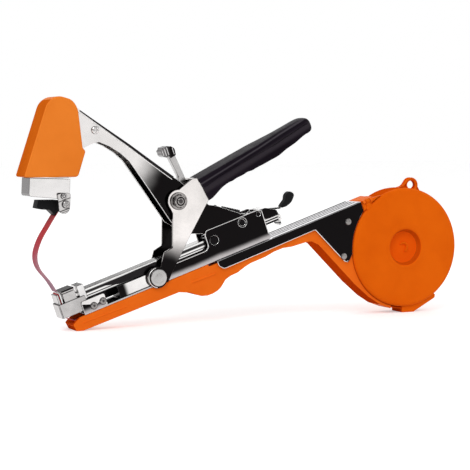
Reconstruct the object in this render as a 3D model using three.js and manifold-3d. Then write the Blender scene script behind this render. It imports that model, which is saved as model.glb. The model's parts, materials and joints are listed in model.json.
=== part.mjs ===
// Plant tying tool: a one-handed tapener that wraps, staples and cuts garden tape.
// Side views are drawn in the jaw's own plane: x runs along the jaw toward the tape reel,
// measured from the main pivot, and z rises square to it from the top face of the spine.
// The jaw is then tilted, so that the reel's foot and the tip of the body stand on one floor.
import * as THREE from 'three';
import { mergeVertices } from 'three/addons/utils/BufferGeometryUtils.js';
import Module from 'manifold-3d';

const wasm = await Module();
wasm.setup();

// Overall lengths, in millimetres
const jawTilt = 19 * Math.PI / 180;
const jawReach = 139.3;
const frameRise = 22.2;
const tailReach = 113.9;
const bodyDrop = 43.2;
const armReach = 89;
const armRise = 127.7;
const gripReach = 73.6;
const gripRise = 69.4;
const headLength = 41.2;
const headHeight = 52.1;
const reelRadius = 42.3;

// Clearances and small joints between pieces
const clearance = 0.3;
const overrun = 1;
const weld = 0.0001;
const headProud = 0.2;

// Widths across the tool, from the staples in the middle outward
const stapleHalf = 3.5;
const magazineHalf = 4.8;
const magazineWall = 0.6;
const armWall = 1.2;
const armHalf = 7;
const linkWall = 1.1;
const frameWall = 1;
const frameHalf = armHalf + clearance + frameWall;
const handleWall = 1.1;
const handleInner = frameHalf + headProud + clearance;
const handleHalf = handleInner + handleWall;
const gripWall = 1.05;
const gripHalf = handleHalf + gripWall;
const spineWall = 1.2;
const spineHalf = frameHalf + clearance + spineWall;
const headHalf = 8.5;
const coverHalf = 10;
const noseHalf = 6;
const bandWall = 0.7;

// Round pieces
const mainPinRadius = 1.8;
const boltRadius = 2.5;
const boltWasher = 5.9;
const boltHex = 4.7;
const nutHeight = 2.6;
const washerHeight = 1;
const linkPinRadius = 1.5;
const linkPinHead = 5.8;
const linkPinHeadHeight = 1.3;
const rivetRadius = 1.2;
const rivetHead = 2.5;
const rivetHeadHeight = 0.8;
const studRadius = 2.8;
const postRadius = 0.9;
const screwRadius = 1.2;
const screwHead = 2.6;
const screwHeadHeight = 1.3;

// Corners and bends of the sheet pieces
const sheetCorner = 1.6;
const coverCorner = 2.2;

// Places of the pivots, as shares of the sizes that carry them
const mainPivot = [0, 0.806 * frameRise];
const handlePivot = [-0.4483 * armReach, 0.3751 * armRise];
const linkPivot = [-0.5032 * jawReach, 0.2342 * frameRise];
const leverPivot = [0.0948 * jawReach, 0.856 * frameRise];

// Scene groups: the jaw is tilted as a whole, the head and the reel stand upright in it
const tool = new THREE.Group();
const jaw = new THREE.Group();
jaw.rotation.y = -jawTilt;
tool.add(jaw);
const head = new THREE.Group();
head.position.set(-1.3133 * armReach, 0, 0.7192 * armRise);
head.rotation.y = jawTilt;
jaw.add(head);
const reel = new THREE.Group();
reel.position.set(tailReach, 0, -bodyDrop);
reel.rotation.y = jawTilt;
jaw.add(reel);

// Looks of the materials
const looks = {
  orange: { color: 0xf0700f, roughness: 0.45, metalness: 0 },
  steel: { color: 0xc9c9c6, roughness: 0.25, metalness: 1 },
  bright: { color: 0xd8d8d6, roughness: 0.15, metalness: 1 },
  dark: { color: 0x1b1a1c, roughness: 0.5, metalness: 0 },
  black: { color: 0x121214, roughness: 0.35, metalness: 0.2 },
  tape: { color: 0xd8262b, roughness: 0.4, metalness: 0 },
};

function solidOf(geometry) {
  const bare = geometry.clone();
  bare.deleteAttribute('normal');
  bare.deleteAttribute('uv');
  const merged = mergeVertices(bare, weld);
  return new wasm.Manifold(new wasm.Mesh({
    numProp: 3,
    vertProperties: new Float32Array(merged.attributes.position.array),
    triVerts: new Uint32Array(merged.index.array),
  }));
}

function place(group, name, solid, look) {
  const got = solid.getMesh();
  const geometry = new THREE.BufferGeometry();
  geometry.setAttribute('position', new THREE.BufferAttribute(got.vertProperties, got.numProp));
  geometry.setIndex(new THREE.BufferAttribute(got.triVerts, 1));
  geometry.computeVertexNormals();
  const mesh = new THREE.Mesh(geometry, new THREE.MeshStandardMaterial(looks[look]));
  mesh.name = name;
  group.add(mesh);
}

// Turns a table of shares into points. A third number gives the corner's radius in units of corner.
function points(shares, width, height, corner = 0) {
  return shares.map(([x, z, r = 0]) => [x * width, z * height, r * corner]);
}

// Rounds each corner of a closed outline that carries a radius, with a short arc of three steps
function rounded(outline) {
  const out = [];
  const count = outline.length;
  outline.forEach(([x, z, r], i) => {
    const [ax, az] = outline[(i + count - 1) % count];
    const [bx, bz] = outline[(i + 1) % count];
    const before = Math.hypot(ax - x, az - z);
    const after = Math.hypot(bx - x, bz - z);
    const cut = Math.min(r ?? 0, before / 2.1, after / 2.1);
    if (cut === 0) {
      out.push(new THREE.Vector2(x, z));
      return;
    }
    const start = new THREE.Vector2(x + (ax - x) * cut / before, z + (az - z) * cut / before);
    const end = new THREE.Vector2(x + (bx - x) * cut / after, z + (bz - z) * cut / after);
    const curve = new THREE.QuadraticBezierCurve(start, new THREE.Vector2(x, z), end);
    out.push(...curve.getPoints(3));
  });
  return out;
}

// Moves a table of points to the place that they are measured from
function from([x0, z0], table) {
  return table.map(([x, z, r]) => [x0 + x, z0 + z, r]);
}

// Points given as shares of the way between two pivots, and of that way's length square to it
function spanned([ax, az], [bx, bz], shares) {
  const dx = bx - ax;
  const dz = bz - az;
  return shares.map(([along, aside]) => [ax + along * dx - aside * dz, az + along * dz + aside * dx]);
}

// A plate whose outline lies in the side view and whose thickness runs across the tool
function sheet(outline, yFrom, yTo) {
  const shape = new THREE.Shape(rounded(outline));
  const geometry = new THREE.ExtrudeGeometry(shape, { depth: yTo - yFrom, bevelEnabled: false });
  geometry.rotateX(Math.PI / 2);
  geometry.translate(0, yTo, 0);
  return solidOf(geometry);
}

// A plate whose outline lies in the plan view, x along the jaw and y across
function planSheet(outline, zFrom, zTo) {
  const shape = new THREE.Shape(rounded(outline));
  const geometry = new THREE.ExtrudeGeometry(shape, { depth: zTo - zFrom, bevelEnabled: false });
  geometry.translate(0, 0, zFrom);
  return solidOf(geometry);
}

function block(xFrom, xTo, yFrom, yTo, zFrom, zTo) {
  const geometry = new THREE.BoxGeometry(xTo - xFrom, yTo - yFrom, zTo - zFrom);
  geometry.translate((xFrom + xTo) / 2, (yFrom + yTo) / 2, (zFrom + zTo) / 2);
  return solidOf(geometry);
}

// A round bar across the tool
function bar([x, z], radius, yFrom, yTo, sides = 20) {
  const geometry = new THREE.CylinderGeometry(radius, radius, yTo - yFrom, sides);
  geometry.translate(x, (yFrom + yTo) / 2, z);
  return solidOf(geometry);
}

// A round bar along the jaw
function rod(xFrom, xTo, y, z, radius, sides = 12) {
  const geometry = new THREE.CylinderGeometry(radius, radius, xTo - xFrom, sides);
  geometry.rotateZ(Math.PI / 2);
  geometry.translate((xFrom + xTo) / 2, y, z);
  return solidOf(geometry);
}

// The same plate on the near side and on the far side
function pair(outline, inner, outer) {
  return sheet(outline, -outer, -inner).add(sheet(outline, inner, outer));
}

// A strip of sheet that follows an open line and has its thickness on the line's right
function stripOutline(line, thickness) {
  const shifted = line.map(([x, z], i) => {
    const [ax, az] = line[Math.max(i - 1, 0)];
    const [bx, bz] = line[Math.min(i + 1, line.length - 1)];
    const length = Math.hypot(bx - ax, bz - az);
    return [x + (bz - az) / length * thickness, z - (bx - ax) / length * thickness];
  });
  return [...line, ...shifted.reverse()].map(([x, z]) => [x, z]);
}

// A turned piece about the y axis. Its profile runs anticlockwise, so that its faces point out
function ring(profile, sides) {
  const outline = profile.map(([r, y]) => new THREE.Vector2(r, y));
  if (THREE.ShapeUtils.area(outline) < 0) outline.reverse();
  return solidOf(new THREE.LatheGeometry([...outline, outline[0].clone()], sides));
}

// Sides, floor and front bracket of the steel frame that carries the main pivot
const frameShares = [
  [-0.474, 0.014], [-0.474, 0.423], [-0.223, 0.423, 1], [-0.207, 0.509, 1], [-0.207, 0.883, 1],
  [-0.196, 1, 1], [0.093, 1], [0.118, 0.928], [0.118, 0.014],
];
const bracketShares = [
  [-0.896, 0.014], [-0.896, 0.414, 1], [-0.775, 0.414, 1], [-0.775, 0.014],
];
const floorBottom = 0.3;
const floorTop = floorBottom + frameWall;
const bracketFront = -0.896 * jawReach;
const frameRear = 0.118 * jawReach;
const rivetPlaces = [[-0.842 * jawReach, 0.176 * frameRise], [-0.793 * jawReach, 0.203 * frameRise]];
const studPlace = [-0.168 * jawReach, 0.622 * frameRise];
let frame = pair(points(frameShares, jawReach, frameRise, sheetCorner), armHalf + clearance, frameHalf);
frame = frame.add(
  pair(points(bracketShares, jawReach, frameRise, sheetCorner), armHalf + clearance, frameHalf));
frame = frame.add(block(bracketFront, frameRear, -frameHalf, frameHalf, floorBottom, floorTop));
frame = frame.subtract(bar(mainPivot, mainPinRadius + clearance, -coverHalf, coverHalf));
frame = frame.subtract(bar(leverPivot, rivetRadius + clearance, -coverHalf, coverHalf, 12));
frame = frame.subtract(bar(studPlace, studRadius + clearance, -coverHalf, coverHalf));
for (const place of rivetPlaces) {
  frame = frame.subtract(bar(place, rivetRadius + clearance, -coverHalf, coverHalf, 12));
}
place(jaw, 'frame_channel', frame, 'steel');

const pinEnd = frameHalf + headProud / 2;
place(jaw, 'main_pin', bar(mainPivot, mainPinRadius, -pinEnd, pinEnd), 'bright');
place(jaw, 'lever_pin', bar(leverPivot, rivetRadius, -pinEnd, pinEnd, 12), 'bright');
for (const [side, sign] of [['near', -1], ['far', 1]]) {
  const inner = armHalf + clearance;
  const from = sign < 0 ? -pinEnd : inner;
  const to = sign < 0 ? -inner : pinEnd;
  place(jaw, `frame_stud_${side}`, bar(studPlace, studRadius, from, to), 'steel');
}

// Rivets: a shank that stops in the sheet and a low head outside
function rivet(group, name, where, sign, seat, shank, look) {
  const headFrom = seat + clearance / 2;
  const headTo = headFrom + rivetHeadHeight;
  const body = sign < 0
    ? bar(where, rivetRadius, -headFrom - weld, -shank, 12).add(bar(where, rivetHead, -headTo, -headFrom, 16))
    : bar(where, rivetRadius, shank, headFrom + weld, 12).add(bar(where, rivetHead, headFrom, headTo, 16));
  place(group, name, body, look);
}
rivetPlaces.forEach((where, i) => {
  rivet(jaw, `bracket_rivet_near_${i + 1}`, where, -1, frameHalf, armHalf + clearance, 'bright');
  rivet(jaw, `bracket_rivet_far_${i + 1}`, where, 1, frameHalf, armHalf + clearance, 'bright');
});

// Staple magazine: a square tube with the staples and the pusher inside
const magazineBottom = 0.432 * frameRise;
const magazineTop = 0.707 * frameRise;
const magazineFront = -0.852 * jawReach;
const magazineRear = 0.1135 * jawReach;
const tubeHalf = magazineHalf - magazineWall;
const tubeBottom = magazineBottom + magazineWall;
const tubeTop = magazineTop - magazineWall;
let magazine = block(
  magazineFront, magazineRear, -magazineHalf, magazineHalf, magazineBottom, magazineTop);
magazine = magazine.subtract(block(
  magazineFront - overrun, magazineRear + overrun, -tubeHalf, tubeHalf, tubeBottom, tubeTop));
place(jaw, 'magazine', magazine, 'bright');

const saddleFront = -0.144 * jawReach;
const saddleRear = 0.072 * jawReach;
place(jaw, 'magazine_saddle', block(saddleFront, saddleRear, -magazineHalf, magazineHalf,
  floorTop + clearance, magazineBottom - clearance), 'dark');

const stickFront = -0.962 * jawReach;
const stickRear = -0.416 * jawReach;
const stapleWall = 0.6;
const stapleBottom = tubeBottom + clearance;
const stapleTop = tubeTop - clearance;
let staples = block(stickFront, stickRear, -stapleHalf, stapleHalf, stapleBottom, stapleTop);
staples = staples.subtract(block(stickFront - overrun, stickRear + overrun,
  stapleWall - stapleHalf, stapleHalf - stapleWall, stapleBottom - overrun, stapleTop - stapleWall));
place(jaw, 'staple_stick', staples, 'bright');

// Pusher: a head behind the staples, two side rails and an end plate at the rear
const pusherHeadRear = -0.373 * jawReach;
const pusherRear = 0.212 * jawReach;
const pusherPlate = 1.5;
const railWall = 1;
const railHalf = tubeHalf - clearance * 0.7;
const railTop = 0.649 * frameRise;
const railBottom = 0.5225 * frameRise;
const endTop = 0.473 * frameRise;
const endBottom = 0.248 * frameRise;
let pusher = block(stickRear + clearance, pusherHeadRear, -railHalf, railHalf, stapleBottom, stapleTop);
for (const [from, to] of [[-railHalf, railWall - railHalf], [railHalf - railWall, railHalf]]) {
  pusher = pusher.add(block(pusherHeadRear - railWall, pusherRear, from, to, railBottom, railTop));
  pusher = pusher.add(block(pusherRear - pusherPlate, pusherRear, from, to, endBottom, railTop));
}
pusher = pusher.add(block(pusherRear - pusherPlate, pusherRear, -railHalf, railHalf, endBottom, endTop));
place(jaw, 'staple_pusher', pusher, 'steel');

// Release lever with its two cheeks, narrow strip and thumb tab
const cheekShares = [
  [0.079, 0.694, 1], [0.079, 0.919, 1], [0.101, 0.964], [0.144, 0.946], [0.194, 0.784],
  [0.201, 0.73], [0.201, 0.586], [0.144, 0.586],
];
const leverStripShares = [
  [0.108, 0.964], [0.144, 0.919], [0.194, 0.824], [0.238, 0.752],
];
const leverTabShares = [
  [0.24, 0.761], [0.248, 0.703], [0.261, 0.698], [0.312, 0.824], [0.327, 0.905], [0.33, 0.986],
  [0.322, 1.05], [0.309, 1.045], [0.277, 0.914], [0.251, 0.811],
];
const cheekHalf = 6.5;
const stripHalf = 2.6;
const stripWall = 1.2;
const leverWebFrom = 0.108 * jawReach;
const leverWebTo = 0.142 * jawReach;
const leverWebTop = 0.951 * frameRise;
let lever = pair(points(cheekShares, jawReach, frameRise, sheetCorner), cheekHalf - stripWall, cheekHalf);
lever = lever.add(block(
  leverWebFrom, leverWebTo, -cheekHalf, cheekHalf, leverWebTop - stripWall, leverWebTop));
lever = lever.add(sheet(
  stripOutline(points(leverStripShares, jawReach, frameRise), stripWall), -stripHalf, stripHalf));
lever = lever.subtract(bar(leverPivot, rivetRadius + clearance, -coverHalf, coverHalf, 12));
place(jaw, 'release_lever', lever, 'black');
place(jaw, 'lever_tab', sheet(
  points(leverTabShares, jawReach, frameRise), -stripHalf, stripHalf), 'dark');

// Nose: a band around the front, the front plate, the tape slot, the blade and the staple blocks
const bandBottom = 0.137 * frameRise;
const bandTop = 0.559 * frameRise;
const bandRear = -0.865 * jawReach;
const bandHalf = noseHalf + clearance + bandWall;
const bandOutline = [
  [bandRear, -bandHalf], [-jawReach, -bandHalf, sheetCorner], [-jawReach, bandHalf, sheetCorner],
  [bandRear, bandHalf], [bandRear, bandHalf - bandWall],
  [bandWall - jawReach, bandHalf - bandWall, sheetCorner - bandWall],
  [bandWall - jawReach, bandWall - bandHalf, sheetCorner - bandWall], [bandRear, bandWall - bandHalf],
];
place(jaw, 'nose_band', planSheet(bandOutline, bandBottom, bandTop), 'bright');

const plateFront = bandWall + clearance - jawReach;
const plateWall = 1.3;
const plateTop = 0.847 * frameRise;
const slotWidth = 0.7;
const bladeFront = plateFront + plateWall + slotWidth;
const bladeWall = 1;
const plateHalf = noseHalf - clearance;
place(jaw, 'nose_plate', block(
  plateFront, plateFront + plateWall, -plateHalf, plateHalf, bandBottom, plateTop), 'bright');

// Cutting blade with nine teeth along its upper edge
const bladeTop = 0.878 * frameRise;
const toothCount = 9;
const toothRise = 1.2;
const bladeOutline = [[-plateHalf, bandBottom], [plateHalf, bandBottom]];
for (let i = toothCount; i > 0; i -= 1) {
  const wide = 2 * plateHalf / toothCount;
  bladeOutline.push([i * wide - plateHalf, bladeTop - toothRise]);
  bladeOutline.push([(i - 0.5) * wide - plateHalf, bladeTop]);
}
bladeOutline.push([-plateHalf, bladeTop - toothRise]);
const bladeShape = new THREE.Shape(bladeOutline.map(([y, z]) => new THREE.Vector2(y, z)));
const bladeGeometry = new THREE.ExtrudeGeometry(bladeShape, { depth: bladeWall, bevelEnabled: false });
bladeGeometry.rotateX(Math.PI / 2);
bladeGeometry.rotateZ(Math.PI / 2);
bladeGeometry.translate(bladeFront, 0, 0);
place(jaw, 'cutter_blade', solidOf(bladeGeometry), 'bright');

const driverWall = 0.4;
const driverFront = bladeFront + bladeWall + clearance;
const driverHalf = stapleHalf - clearance;
place(jaw, 'staple_driver', block(driverFront, driverFront + driverWall, -driverHalf, driverHalf,
  bandBottom + clearance, magazineBottom + clearance), 'steel');

const noseFront = driverFront + driverWall + clearance;
const noseRear = -0.902 * jawReach;
const noseBottom = 0.441 * frameRise;
const capBottom = 0.829 * frameRise;
const capTop = 0.91 * frameRise;
const trackFront = -0.887 * jawReach;
const trackTop = 0.883 * frameRise;
const passageHalf = stapleHalf + clearance;
const passageBottom = stapleBottom - clearance;
const passageTop = stapleTop + clearance;
const passage = block(
  -jawReach, magazineFront, -passageHalf, passageHalf, passageBottom, passageTop);
place(jaw, 'nose_block', block(noseFront, noseRear, -noseHalf, noseHalf, noseBottom,
  capBottom - clearance).subtract(passage), 'bright');
place(jaw, 'nose_cap', block(
  noseFront, noseRear, -noseHalf, noseHalf, capBottom, capTop), 'dark');
place(jaw, 'track_block', block(trackFront, magazineFront - clearance, -noseHalf, noseHalf,
  noseBottom, trackTop).subtract(passage), 'steel');

// Drive link: two side bars that hook over the handle's lower pin, joined by a front crossbar
const linkFront = -0.7035 * jawReach;
const linkRear = -0.445 * jawReach;
const linkTop = 0.4234 * frameRise;
const linkBottom = floorTop + clearance;
const hookSlack = 1.2;
const hookHalf = linkPinRadius + clearance + hookSlack;
const crossbarWall = 1.5;
let link = block(linkFront, linkRear, -armHalf, linkWall - armHalf, linkBottom, linkTop);
link = link.add(block(linkFront, linkRear, armHalf - linkWall, armHalf, linkBottom, linkTop));
link = link.add(block(
  linkFront, linkFront + crossbarWall, -armHalf, armHalf, linkBottom, linkTop - clearance));
link = link.subtract(block(linkPivot[0] - hookHalf, linkPivot[0] + hookHalf, -coverHalf, coverHalf,
  linkBottom - overrun, linkPivot[1] + linkPinRadius + clearance));
place(jaw, 'drive_link', link, 'bright');

// Spine: a steel channel over the body, with side plates that widen where the reel is carried
const spineFrontShares = [[-0.234, 0], [-0.234, -0.058], [-0.209, -0.155, 1]];
const gussetShares = [[-1.503, -0.141], [-1.212, -0.708], [-1.115, -0.875, 2]];
const gussetRearShares = [[-0.86, -0.62], [-0.56, -0.171], [-0.56, 0]];
const spineWeb = 1.3;
const spineFront = -0.234 * tailReach;
const spineRear = tailReach - 0.56 * reelRadius;
const spineRivets = [
  [tailReach - 0.891 * reelRadius, -0.225 * bodyDrop], [tailReach - 1.1525 * reelRadius, -0.729 * bodyDrop],
];
const spineGap = 0.9;
const spineOutline = points(spineFrontShares, tailReach, bodyDrop, sheetCorner).concat(
  from([tailReach, 0], points([...gussetShares, ...gussetRearShares], reelRadius, bodyDrop, sheetCorner)));
let spine = pair(spineOutline, spineHalf - spineWall, spineHalf);
spine = spine.subtract(bar([tailReach, -bodyDrop], reelRadius + spineGap, -coverHalf, coverHalf, 64));
spine = spine.add(block(spineFront, spineRear, -spineHalf, spineHalf, -spineWeb, 0));
for (const where of spineRivets) {
  spine = spine.subtract(bar(where, rivetRadius + clearance, -coverHalf, coverHalf, 12));
}
place(jaw, 'spine_channel', spine, 'black');
spineRivets.forEach((where, i) => {
  rivet(jaw, `spine_rivet_near_${i + 1}`, where, -1, spineHalf, spineHalf - spineWall, 'bright');
  rivet(jaw, `spine_rivet_far_${i + 1}`, where, 1, spineHalf, spineHalf - spineWall, 'bright');
});

// Body shell: the moulded underside from the jaw's tip to the reel, grooved for the tape
const jawShellShares = [
  [-0.236, -0.037], [-0.236, 0], [-0.925, 0], [-0.945, -0.021], [-0.966, -0.062],
  [-0.96, -0.178], [-0.937, -0.205], [-0.421, -0.229], [-0.366, -0.306], [-0.341, -0.375],
  [-0.316, -0.426], [-0.287, -0.454], [-0.258, -0.458], [-0.23, -0.444], [-0.208, -0.414],
  [-0.173, -0.329], [-0.144, -0.306], [-0.102, -0.301], [-0.057, -0.262], [-0.024, -0.243],
];
const beamShellShares = [[0.199, -0.241], [0.377, -0.218], [0.552, -0.22], [0.708, -0.255], [1, -0.28]];
const elbowShares = [[-1.618, -0.301], [-1.522, -0.391]];
const cradleShares = [
  [-1.109, -0.2175], [-0.91, -0.5505], [-0.754, -0.7425], [-0.574, -0.8865], [-0.31, -0.562],
];
const beamReach = tailReach - 1.693 * reelRadius;
const reelGap = reelRadius + clearance;
const tongueFrom = spineRear + clearance;
const tongueTo = tailReach - 0.3124 * reelRadius;
const bodyTop = -spineWeb - clearance;
const shellHalf = frameHalf;
const bodyOutline = [
  ...points(jawShellShares, jawReach, bodyDrop),
  ...points(beamShellShares, beamReach, bodyDrop),
  ...from([tailReach, 0], points(elbowShares, reelRadius, bodyDrop)),
  ...from([tailReach, -bodyDrop], points(cradleShares, reelRadius, reelRadius)),
  [tailReach - 0.121 * reelRadius, bodyTop],
];
let body = sheet([...bodyOutline, [tongueTo, bodyTop], [tongueTo, 0], [tongueFrom, 0],
  [tongueFrom, bodyTop]], -shellHalf, shellHalf);
body = body.subtract(bar([tailReach, -bodyDrop], reelGap, -coverHalf, coverHalf, 64));
const footDepth = 1.106 * reelRadius;
const floorLength = 3 * jawReach;
const floorCut = new THREE.BoxGeometry(floorLength, floorLength, floorLength);
floorCut.rotateY(jawTilt);
floorCut.translate(
  tailReach - Math.sin(jawTilt) * (footDepth + floorLength / 2) - Math.cos(jawTilt) * jawReach, 0,
  -bodyDrop - Math.cos(jawTilt) * (footDepth + floorLength / 2) + Math.sin(jawTilt) * jawReach);
body = body.subtract(solidOf(floorCut));

// The tape's run: from the roll, under the spine and the floor, and up through the nose's slot
const tapeHalf = 5.4;
const tapeWall = 0.2;
const grooveHalf = tapeHalf + clearance;
const grooveBottom = -0.086 * bodyDrop;
const reelRunShares = [
  [-0.2235, -0.446], [-0.377, -0.369], [-0.5655, -0.23], [-0.754, -0.149], [-0.943, -0.128],
];
const noseRunShares = [
  [1, -0.128], [0.566, -0.099], [0.253, -0.03], [0.077, 0.03], [0, 0.11], [0, 0.25], [0, 0.874],
];
const noseBend = 12.66;
const tapeLine = plateFront + plateWall + slotWidth / 2;
body = body.subtract(block(
  -jawReach, tongueFrom, -grooveHalf, grooveHalf, grooveBottom, overrun));
const runLine = [
  ...from([tailReach, 0], points(reelRunShares, reelRadius, frameRise)),
  ...from([tapeLine, 0], points(noseRunShares, noseBend, frameRise)),
];
const slotHeight = 3;
const slotOutline = stripOutline([
  [runLine[0][0], runLine[0][1] + slotHeight / 2], [runLine[1][0], runLine[1][1] + slotHeight / 2],
  [runLine[2][0], runLine[2][1] + slotHeight / 2], [runLine[3][0], runLine[3][1] + slotHeight / 2],
  [runLine[4][0], runLine[4][1] + slotHeight / 2],
].reverse(), slotHeight);
const slot = sheet(slotOutline, -grooveHalf, grooveHalf);
body = body.subtract(slot);

// Hinge of the reel's cover: knuckles of the body, of the cover, and a pin
const hingeRadius = 1.4;
const hingePinRadius = 0.6;
const hingeY = -frameHalf - clearance - 1.14 * hingeRadius;
const hingeZ = -0.0232 * bodyDrop;
const knuckleShares = [-0.5439, -0.4914, -0.4846, -0.4093, -0.4026, -0.35];
const knuckles = knuckleShares.map((share) => tailReach + share * reelRadius);
const hingeHole = rod(tongueFrom, tongueTo, hingeY, hingeZ, hingePinRadius + clearance / 2);
for (const [from, to] of [[knuckles[0], knuckles[1]], [knuckles[4], knuckles[5]]]) {
  body = body.add(rod(from, to, hingeY, hingeZ, hingeRadius));
  body = body.add(block(
    from, to, hingeY, overrun - shellHalf, hingeZ - hingeRadius, hingeZ + hingeRadius / 2));
}
body = body.subtract(hingeHole);
place(jaw, 'body_shell', body, 'orange');
place(jaw, 'hinge_pin', rod(
  knuckles[0], knuckles[5], hingeY, hingeZ, hingePinRadius, 8), 'bright');
place(jaw, 'tape_run', sheet(stripOutline(runLine, tapeWall), -tapeHalf, tapeHalf), 'tape');

// Reel housing: back wall, rim, hub and foot
const rimWall = 1.8;
const backWall = 1.5;
const hubRadius = 11.6;
const rollHalf = 5.5;
const backRound = 2.6;
const backFace = shellHalf;
const reelSides = 64;
const housingProfile = [
  [0, backFace], [0, -rollHalf], [hubRadius, -rollHalf], [hubRadius, backFace - backWall],
  [reelRadius - rimWall, backFace - backWall], [reelRadius - rimWall, -shellHalf],
  [reelRadius, -shellHalf], [reelRadius, backFace - backRound],
  [reelRadius - 0.29 * backRound, backFace - 0.29 * backRound], [reelRadius - backRound, backFace],
];
const footShares = [
  [-0.033, -0.983], [-0.033, -1.106], [0.196, -1.106], [0.619, -0.882], [0.629, -0.827],
  [0.6, -0.809], [0.558, -0.818], [0.473, -0.709],
];
let housing = ring(housingProfile, reelSides);
const rollSpace = ring([
  [hubRadius, -coverHalf], [reelRadius - rimWall, -coverHalf],
  [reelRadius - rimWall, backFace - backWall], [hubRadius, backFace - backWall]], reelSides);
const foot = sheet(points(footShares, reelRadius, reelRadius), -shellHalf, shellHalf - backRound);
housing = housing.add(foot.subtract(rollSpace));
const slotTool = sheet(slotOutline.map(([x, z]) => {
  const dx = x - tailReach;
  const dz = z + bodyDrop;
  return [dx * Math.cos(jawTilt) - dz * Math.sin(jawTilt), dx * Math.sin(jawTilt) + dz * Math.cos(jawTilt)];
}), -grooveHalf, grooveHalf);
housing = housing.subtract(slotTool.subtract(bar([0, 0], reelRadius - rimWall - overrun, -coverHalf, coverHalf)));
place(reel, 'reel_housing', housing, 'orange');

// Hanging eye on top of the housing
const eyeShares = [
  [-0.04, 1.007], [0.057, 1.045], [0.128, 1.121], [0.345, 1.102], [0.364, 1.031], [0.39, 0.931],
  [0.236, 0.941], [0.095, 0.979],
];
const eyePlace = [0.227 * reelRadius, 1.04 * reelRadius];
const eyeRadius = 5.5;
const eyeHole = 3.1;
const eyeHalf = 4;
let eye = sheet(points(eyeShares, reelRadius, reelRadius), -eyeHalf, eyeHalf);
eye = eye.add(bar(eyePlace, eyeRadius, -eyeHalf, eyeHalf, 28));
eye = eye.subtract(bar(eyePlace, eyeHole, -coverHalf, coverHalf, 20));
eye = eye.subtract(bar([0, 0], reelGap, -coverHalf, coverHalf, reelSides));
place(reel, 'hang_eye', eye, 'orange');

// Tape roll on the hub
const rollBore = hubRadius + clearance;
const rollRadius = 33;
place(reel, 'tape_roll', ring([
  [rollBore, -rollHalf], [rollBore, rollHalf], [rollRadius, rollHalf], [rollRadius, -rollHalf],
], reelSides), 'tape');

// Reel cover with its sunk centre, boss and hinge knuckle
const lidInner = shellHalf + clearance;
const lidWall = 2;
const lidOuter = lidInner + lidWall;
const recessRadius = 12.6;
const recessWall = 1.6;
const recessInner = rollHalf + clearance;
const recessOuter = recessInner + recessWall;
const bossRadius = 4;
const bossRise = 1;
const lidProfile = [
  [0, -recessInner], [0, -recessOuter - bossRise], [bossRadius - bossRise / 2, -recessOuter - bossRise],
  [bossRadius, -recessOuter], [recessRadius - bossRise, -recessOuter],
  [recessRadius, -lidOuter + bossRise / 2], [recessRadius + bossRise, -lidOuter],
  [reelRadius - lidWall, -lidOuter], [reelRadius - lidWall / 4, -lidOuter + lidWall / 3],
  [reelRadius, -lidInner - lidWall / 2.5], [reelRadius, -lidInner],
  [recessRadius + recessWall, -lidInner], [recessRadius + recessWall / 2, -recessInner],
];
let lid = ring(lidProfile, reelSides).translate([tailReach, 0, -bodyDrop]);
const lidArmDrop = 0.13 * bodyDrop;
lid = lid.add(block(knuckles[2], knuckles[3], -lidOuter, -lidInner - clearance,
  hingeZ - lidArmDrop, hingeZ));
lid = lid.add(rod(knuckles[2], knuckles[3], hingeY, hingeZ, hingeRadius));
lid = lid.subtract(hingeHole);
place(jaw, 'reel_cover', lid, 'orange');

// Upper arm: a steel channel from the main pivot to the head
const armShares = [
  [-0.956, 1], [-0.666, 0.735], [-0.499, 0.569], [-0.385, 0.474], [-0.212, 0.294],
  [-0.153, 0.273], [0.01, 0.19], [0, 0.096], [-0.09, 0.114], [-0.313, 0.157], [-0.421, 0.185],
  [-0.542, 0.28], [-0.627, 0.481], [-0.706, 0.658], [-0.752, 0.712], [-0.816, 0.765],
  [-0.879, 0.802], [-0.934, 0.806], [-1, 0.802], [-1.093, 0.755], [-1.166, 0.68],
  [-1.449, 0.756], [-1.13, 1.042],
];
const armWebShares = [
  [-1.13, 1.042], [-0.956, 1], [-0.666, 0.735], [-0.499, 0.569], [-0.404, 0.49],
];
const armLobe = 6;
const armInner = armHalf - armWall;
const anchorPlace = [-0.1404 * armReach, 0.2584 * armRise];
const armScrewPlace = [-0.882 * armReach, 0.866 * armRise];
let arm = pair(points(armShares, armReach, armRise), armInner, armHalf);
for (const [from, to] of [[-armHalf, -armInner], [armInner, armHalf]]) {
  arm = arm.add(bar(mainPivot, armLobe, from, to, 28));
}
arm = arm.add(sheet(stripOutline(points(armWebShares, armReach, armRise), armWall), -armHalf, armHalf));
arm = arm.subtract(bar(mainPivot, mainPinRadius + clearance, -coverHalf, coverHalf));
arm = arm.subtract(bar(handlePivot, boltRadius + clearance, -coverHalf, coverHalf));
arm = arm.subtract(bar(armScrewPlace, screwRadius + clearance, -coverHalf, 0, 12));
place(jaw, 'arm_channel', arm, 'steel');
place(jaw, 'spring_anchor', bar(
  anchorPlace, postRadius, clearance - armInner, armInner - clearance, 12), 'steel');

// Screws with a round head on the near side
function screw(group, name, where, seat, end, radius, headRadius, headHeight, look) {
  const headFrom = seat + clearance;
  const body = bar(where, radius, -headFrom - weld, -end, 12);
  place(group, name, body.add(bar(where, headRadius, -headFrom - headHeight, -headFrom, 18)), look);
}
screw(jaw, 'arm_screw', armScrewPlace, armHalf, armInner, screwRadius, screwHead, screwHeadHeight, 'bright');

// Post that holds the spring's other end between the frame's sides
const postPlace = [0.054 * jawReach, 0.941 * frameRise];
place(jaw, 'spring_post', bar(postPlace, postRadius, -armHalf, armHalf, 12), 'steel');

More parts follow.
